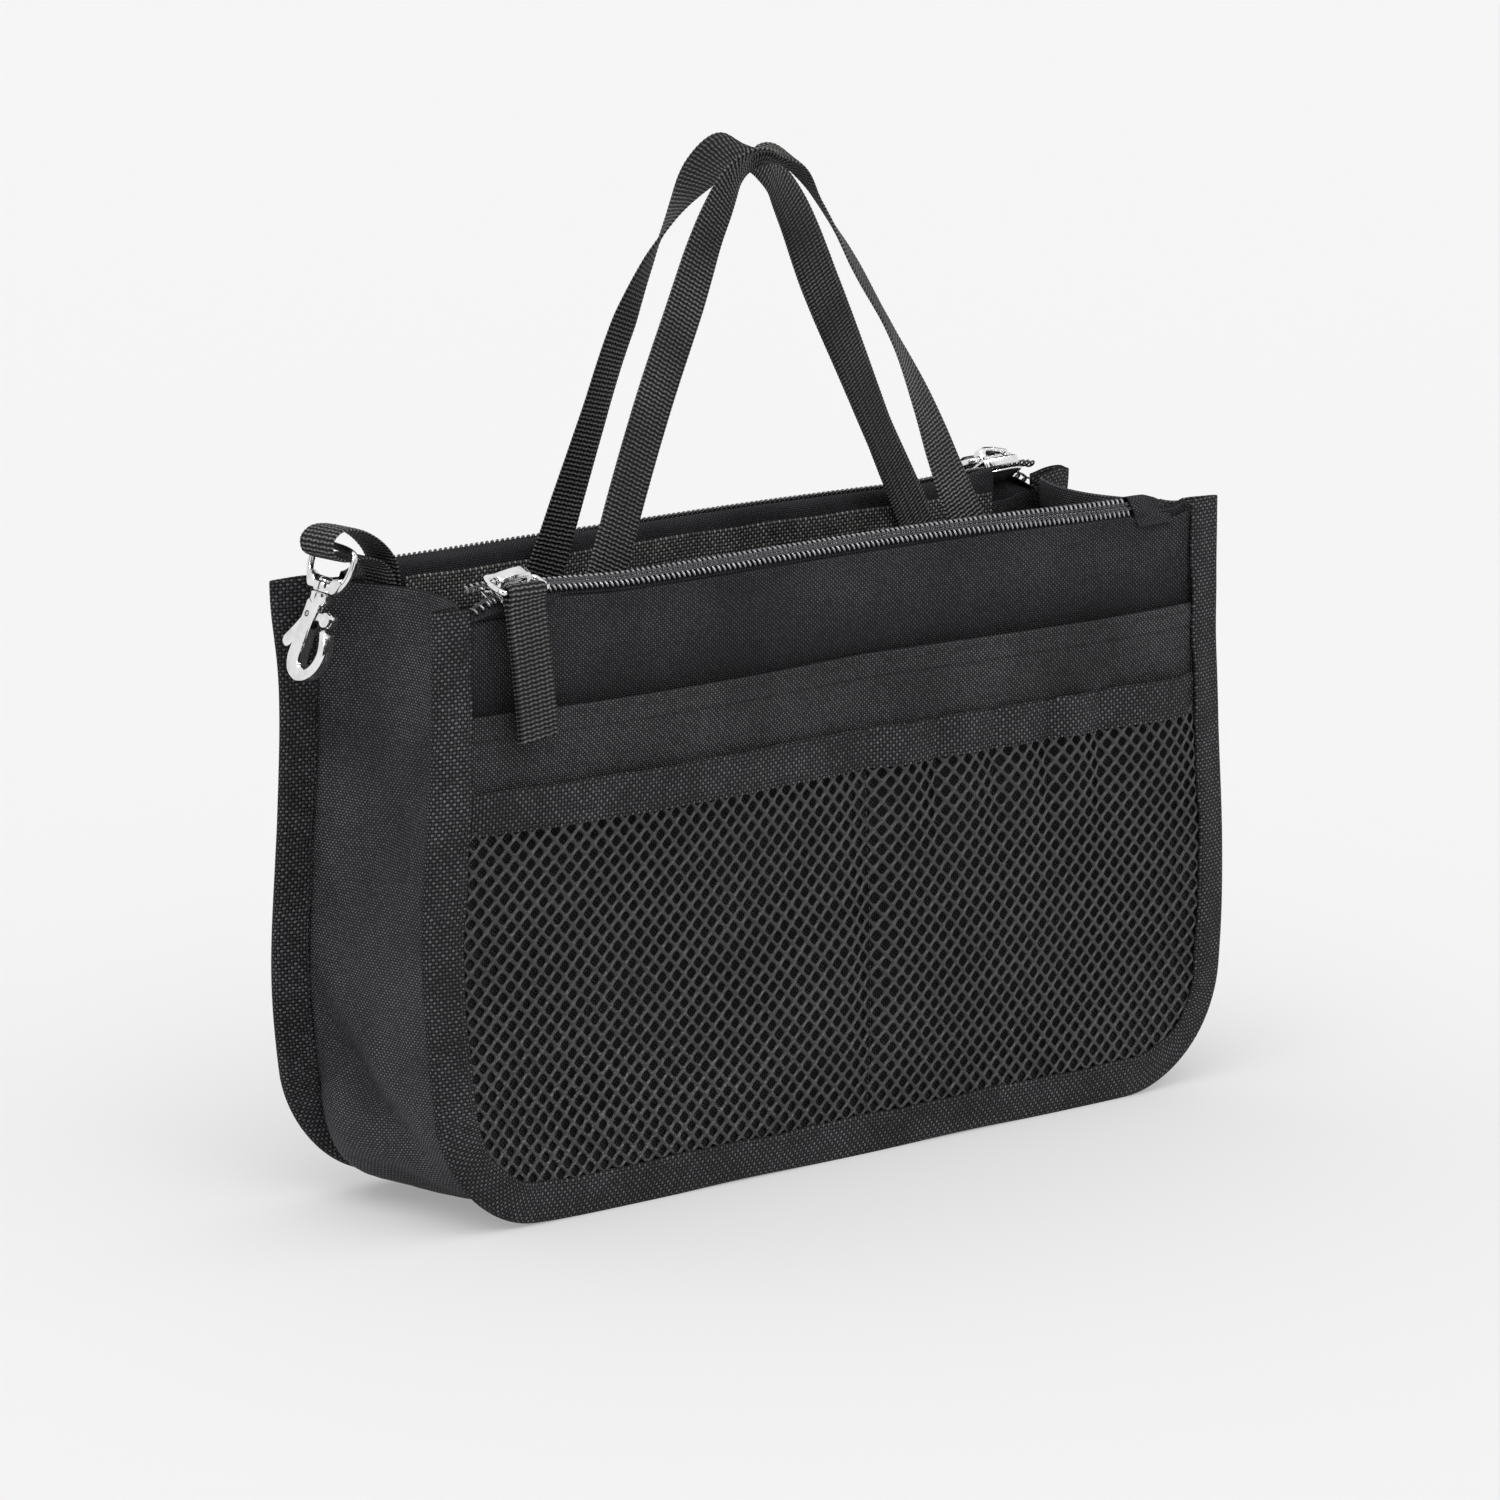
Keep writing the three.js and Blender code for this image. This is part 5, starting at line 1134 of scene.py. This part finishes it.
# %% [markdown]
# The folded ends over the chain
# At the closed end a piece of cloth is folded over the last turns of the coil. It is soft and
# rounded over the chain, so its section is drawn round the chain and pinched at both cut edges.

# %% End tabs
def end_tab(name, rear, replaced):
    x = np.linspace(109.4, 124.5, 28)
    tilt, past_end = zip_tilt(x), smooth(112.0, 119.0, x)[:, None, None]

    def over(high):
        chain = [(-4.4, 0.9), (-3.2, 1.0), (-2.5, high), (2.4, high), (3.2, 0.6)]
        return sections(x, [(33.75, 166.4), *(zip_point(*place, tilt) for place in chain),
                            (26.6, 173.6), (23.9, 171.0), (23.4, 162.0)])

    profile = over(2.6) * (1 - past_end) + over(0.7) * past_end
    depth, z, x = profile[..., 0], profile[..., 1], x[:, None]
    z = z - 2.2 * smooth(116, 125, x) * smooth(168, 173, z)
    crease = 0.2 * np.sin(x * 1.1 + np.arange(z.shape[1]) * 0.35) * smooth(118, 124, x)
    slant = 2.4 * np.clip((173.5 - z) / 7, 0, 1) * smooth(114, 109.4, x)
    grid = joined(x + slant, -depth, z + crease)
    made = thick_sheet(grid, CLOTH, joined(x, lengths(grid)))
    new_piece(name, made, cloth_paint, rear, replaced=(replaced,))


for side, rear in SIDES:
    end_tab(side + "_chain_cover", rear, side + "_zip_end_tab")

# %% [markdown]
# Webbing
# Flat webbing bends easily one way and hardly at all the other. Its ribs run across it, 1.2 mm
# apart, and they show in its outline, so they are real geometry: the thickness of the strap rises
# and falls with every rib. One helper makes every strap from its middle line and its width direction.

# %% One strap
RIB, STRAP_WIDE, STRAP_THICK, PATH_STEP = 1.2, 13.4, 1.1, 0.3
LANES = np.array([-1, -0.93, -0.8, -0.6, -0.4, -0.2, 0, 0.2, 0.4, 0.6, 0.8, 0.93, 1])


def even_path(points):
    """A smooth curve through points, without loops between close ones, at even steps: (line, run)."""
    points = np.asarray(points, float)
    ends = [2 * points[0] - points[1], *points, 2 * points[-1] - points[-2]]
    t, dense = np.linspace(0, 1, 40, endpoint=False)[:, None], []
    for p0, p1, p2, p3 in zip(ends, ends[1:], ends[2:], ends[3:]):
        t01, t12, t23 = (max(np.linalg.norm(b - a), 1e-6) ** 0.5 for a, b in ((p0, p1), (p1, p2), (p2, p3)))
        m1 = ((p1 - p0) / t01 - (p2 - p0) / (t01 + t12) + (p2 - p1) / t12) * t12
        m2 = ((p2 - p1) / t12 - (p3 - p1) / (t12 + t23) + (p3 - p2) / t23) * t12
        dense.append((2 * t**3 - 3 * t**2 + 1) * p1 + (t**3 - 2 * t**2 + t) * m1
                     + (3 * t**2 - 2 * t**3) * p2 + (t**3 - t**2) * m2)
    dense = np.concatenate([*dense, points[-1:]])
    run = lengths(dense)
    at = np.linspace(0, run[-1], int(run[-1] / PATH_STEP) + 1)
    return points_at(at, run, dense), at


def strap(name, middle, run, wide, body, replaced, rear=False, width=STRAP_WIDE, seed=0.0, fold=0.0):
    """A ribbed strap: middle line, distance along it, unit width direction and fold at each place."""
    phase, across = 2 * np.pi * run[:, None] / RIB, LANES * width / 2
    rib = np.cos(phase + 0.25 * np.sin(LANES * 9 + seed))
    thick = (STRAP_THICK - 0.32 + 0.16 * (1 + rib)) * np.sqrt(np.clip(1 - LANES**8, 0.12, 1))
    fold = np.broadcast_to(fold, len(run))[:, None]
    edge = wide * np.cos(fold) * (1 + 0.008 * np.cos(phase))
    lift = unit(np.cross(np.gradient(middle, axis=0), wide)) * np.sin(fold) * width / 2
    grid = middle[:, None] + across[:, None] * edge[:, None] + (0.45 - np.abs(LANES))[:, None] * lift[:, None]
    made = thick_sheet(grid, thick, joined(across, run[:, None]), 2)
    return new_piece(name, made, webbing_paint, rear, body, replaced)


# %% Handles
FRONT_ROUTE = [(-93, -34), (-77.5, -6), (-64.5, 21), (-52, 45), (-39, 67.5), (-26, 90), (-15, 103), (-5, 107.6),
               (4, 104), (11.5, 94.6), (24, 74.4), (35.5, 54.5), (44, 36), (52, 14), (60, -6), (71, -34)]
REAR_ROUTE = [(-93, -34), (-77, -6), (-61, 19), (-46.3, 43), (-32, 66), (-17.9, 89.3), (-7, 101.6), (4, 106.8),
              (14, 102.8), (22.3, 94), (32, 78.5), (41, 57), (48, 34), (54, 14), (60, -6), (71, -34)]

# Run along the strap from its first foot, and how far it has twisted there, in degrees.
FRONT_TWIST = [(0, 0), (94, 1), (118, 2), (129, 5), (136, 9), (143, 12), (148, 15), (154, 23), (163, 44), (171, 68),
               (180, 95), (190, 115), (197, 119), (202, 122), (211, 131), (218, 133), (231, 130), (241, 134),
               (257, 150), (272, 163), (300, 176), (337, 180)]
REAR_TWIST = [(0, 0), (50, 11), (64, 15), (82, 10), (100, 4), (110, 1), (122, 0), (130, 2), (138, 6), (144, 10),
              (152, 19), (158, 36), (165, 55), (171, 46), (177, 42), (186, 72), (195, 101), (201, 116), (206, 125),
              (214, 140), (221, 148), (232, 159), (255, 161), (269, 165), (300, 176), (339, 180)]
FOOT_DEPTH, TOP_DEPTH = 22.25, 6.6


def handle_lines(route, twists, knot):
    """A handle makes half a turn between its feet, most of it near a soft knot at the top."""
    line, run = even_path([(x, HEIGHT + z) for x, z in route])
    foot = HEIGHT - 8
    lean = np.maximum(line[:, 1] - foot, 0) / (line[:, 1].max() - foot)
    middle = joined(line[:, 0], -(FOOT_DEPTH + (TOP_DEPTH - FOOT_DEPTH) * lean), line[:, 1])
    along = unit(np.gradient(middle, axis=0))
    depthwise = unit((0, 1, 0) - along * along[:, 1:2])
    twist, window = np.interp(run, *np.transpose(twists)), np.hanning(31) / np.hanning(31).sum()
    twist = np.radians(np.convolve(np.pad(twist, 15, mode="edge"), window, "valid"))[:, None]
    wide = unit(np.cos(twist) * np.cross(depthwise, along) + np.sin(twist) * depthwise)
    return middle, run, wide, math.radians(48) * bell(run, knot, 7)


for side, rear in SIDES:
    shape = (REAR_ROUTE, REAR_TWIST, 165) if rear else (FRONT_ROUTE, FRONT_TWIST, 171)
    middle, run, wide, fold = handle_lines(*shape)
    handle = strap(side + "_handle_strap", middle, run, wide, None,
                   (side + "_handle", side + "_handle_end_left", side + "_handle_end_right"),
                   rear, seed=3.0 * rear, fold=fold)
    y = FOOT_DEPTH * MM * (1 if rear else -1)
    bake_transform(handle)
    for foot, name in ((slice(18, 58), "left"), (slice(-58, -18), "right")):
        rows = [(middle[foot] + wide[foot] * lane + (0, 0.62, 0), INWARDS) for lane in (-5.4, 5.4)]
        stitch_rows(side + "_foot_stitches_" + name, rows, rear, thick=1.2)

# %% Loop of the snap hook
BAR, LOOP_DEPTH = np.array([-137.0, 180.9]), 16.0
LOOP_ROUTE = [(14.7, -24.4), (14.7, -10.3), (11.9, -5.0), (5.2, -2.5), (-1, -2.6), (-5.3, -0.6), (-5.8, 2.9),
              (-2.6, 5.5), (3.6, 5.0), (10.2, 1.5), (14.9, -3.9), (16.2, -10.3), (16.2, -24.4)]
line, run = even_path(BAR + LOOP_ROUTE)
middle = joined(line[:, 0], LOOP_DEPTH, line[:, 1])
strap("hook_loop", middle, run, np.broadcast_to(INWARDS, middle.shape), "bag", ("hook_strap",), seed=1.0)

# %% Pull tabs
TAB_BAR = zip_point(0, 4.6) + (6.1, -2.0)
TAB_LONG, TAB_LEAN = 40.0, math.radians(7)


def pull_tab(name, body, rear, replaced):
    eye, half = 1.1 + STRAP_THICK / 2, 0.04 + STRAP_THICK / 2
    leg = [(half, -TAB_LONG), (half, -22.0), (half, -7.0), (half + 0.1, -4.2)]
    loop = [(eye * math.cos(a), eye * math.sin(a)) for a in np.radians(np.linspace(205, -25, 12))]
    line, run = even_path([(-x, z) for x, z in leg] + loop + leg[::-1])
    across, up = line.T
    x = ZIP_PARK - np.minimum(up + 3, 0) * math.tan(TAB_LEAN)
    bow = 0.315 * hump(-up, 0, TAB_LONG)
    middle = joined(x, -(TAB_BAR[0] + across + bow), TAB_BAR[1] + up)
    lean = TAB_LEAN * smooth(0, -4, up)
    wide = joined(np.cos(lean), 0, np.sin(lean))
    strap(name, middle - (0.5, 0, 0), run, wide, body, (replaced,), rear, 12.5, 5.0 * rear)
    rows = []
    for low, high in ((-39.0, -36.8), (-8.4, -6.6)):
        here = np.flatnonzero((across > 0) & (up > low) & (up < high))
        start = middle[here].mean(0) - (0, STRAP_THICK / 2 + 0.05, 0)
        rows.append((start + np.linspace(-5.6, 5.6, 30)[:, None] * wide[here[0]], OUTWARDS))
    stitch_rows(name + "_stitches", rows, rear, body, 1.1)


for side, rear in SIDES:
    pull_tab(side + "_pull_webbing", side + "_tab", rear, side + "_pull_tab")

# %% [markdown]
# Metal pieces
# The slider, its wire loop, the ring, the hook, its gate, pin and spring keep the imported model's own
# shapes, because their sizes matter. Their facets would show in a mirror finish, so modifiers weld
# the points, round the sharp edges a little and shade the rest smooth. The meshes stay as they are.

# %% Smooth plated metal
SHARP = math.radians(38)
smoother = bpy.data.node_groups.new("smooth metal", "GeometryNodeTree")
for way in ("INPUT", "OUTPUT"):
    smoother.interface.new_socket("Geometry", in_out=way, socket_type="NodeSocketGeometry")
came, gone = smoother.nodes.new("NodeGroupInput"), smoother.nodes.new("NodeGroupOutput")
angle = new_node(smoother, "GeometryNodeInputMeshEdgeAngle", {})[0]
steep = new_node(smoother, "FunctionNodeCompare", {"A": angle, "B": SHARP}, operation="GREATER_THAN")[0]
rounded = new_node(smoother, "GeometryNodeSetShadeSmooth", {"Geometry": Flow(smoother, came.outputs[0])})[0]
creased = new_node(smoother, "GeometryNodeSetShadeSmooth",
                   {"Geometry": rounded, "Selection": steep, "Shade Smooth": False}, domain="EDGE")[0]
feed(creased, gone.inputs[0])

for name, thing in nodes.items():
    if thing.data.materials[0].name not in ("plated", "steel"):
        continue
    thing.material_slots[0].material = steel_paint if name in ("gate_pin", "gate_spring") else plated_paint
    thing.modifiers.new("weld", "WELD").merge_threshold = 0.00002
    if name != "gate_spring":
        round_edges = thing.modifiers.new("round edges", "BEVEL")
        round_edges.width, round_edges.segments = 0.00016, 2
        round_edges.limit_method, round_edges.angle_limit = "ANGLE", SHARP
        round_edges.use_clamp_overlap = True
    thing.modifiers.new("smooth", "NODES").node_group = smoother
    print("metal:", name)

# %% [markdown]
# The flat sizes of the cloth
# Every sheet is listed with the size that it was cut to and the pieces that it hangs from, and its flat size is
# printed. All are sewn in along their edges. The net's own area, that of its strands, is worked out but not used.

for piece, (wide, tall), held_by, share in SHEETS:
    area = share * wide * tall * MM * MM if share else None
    wide * MM
    print("sheet", piece.name, round(wide, 1), "x", round(tall, 1), "mm")
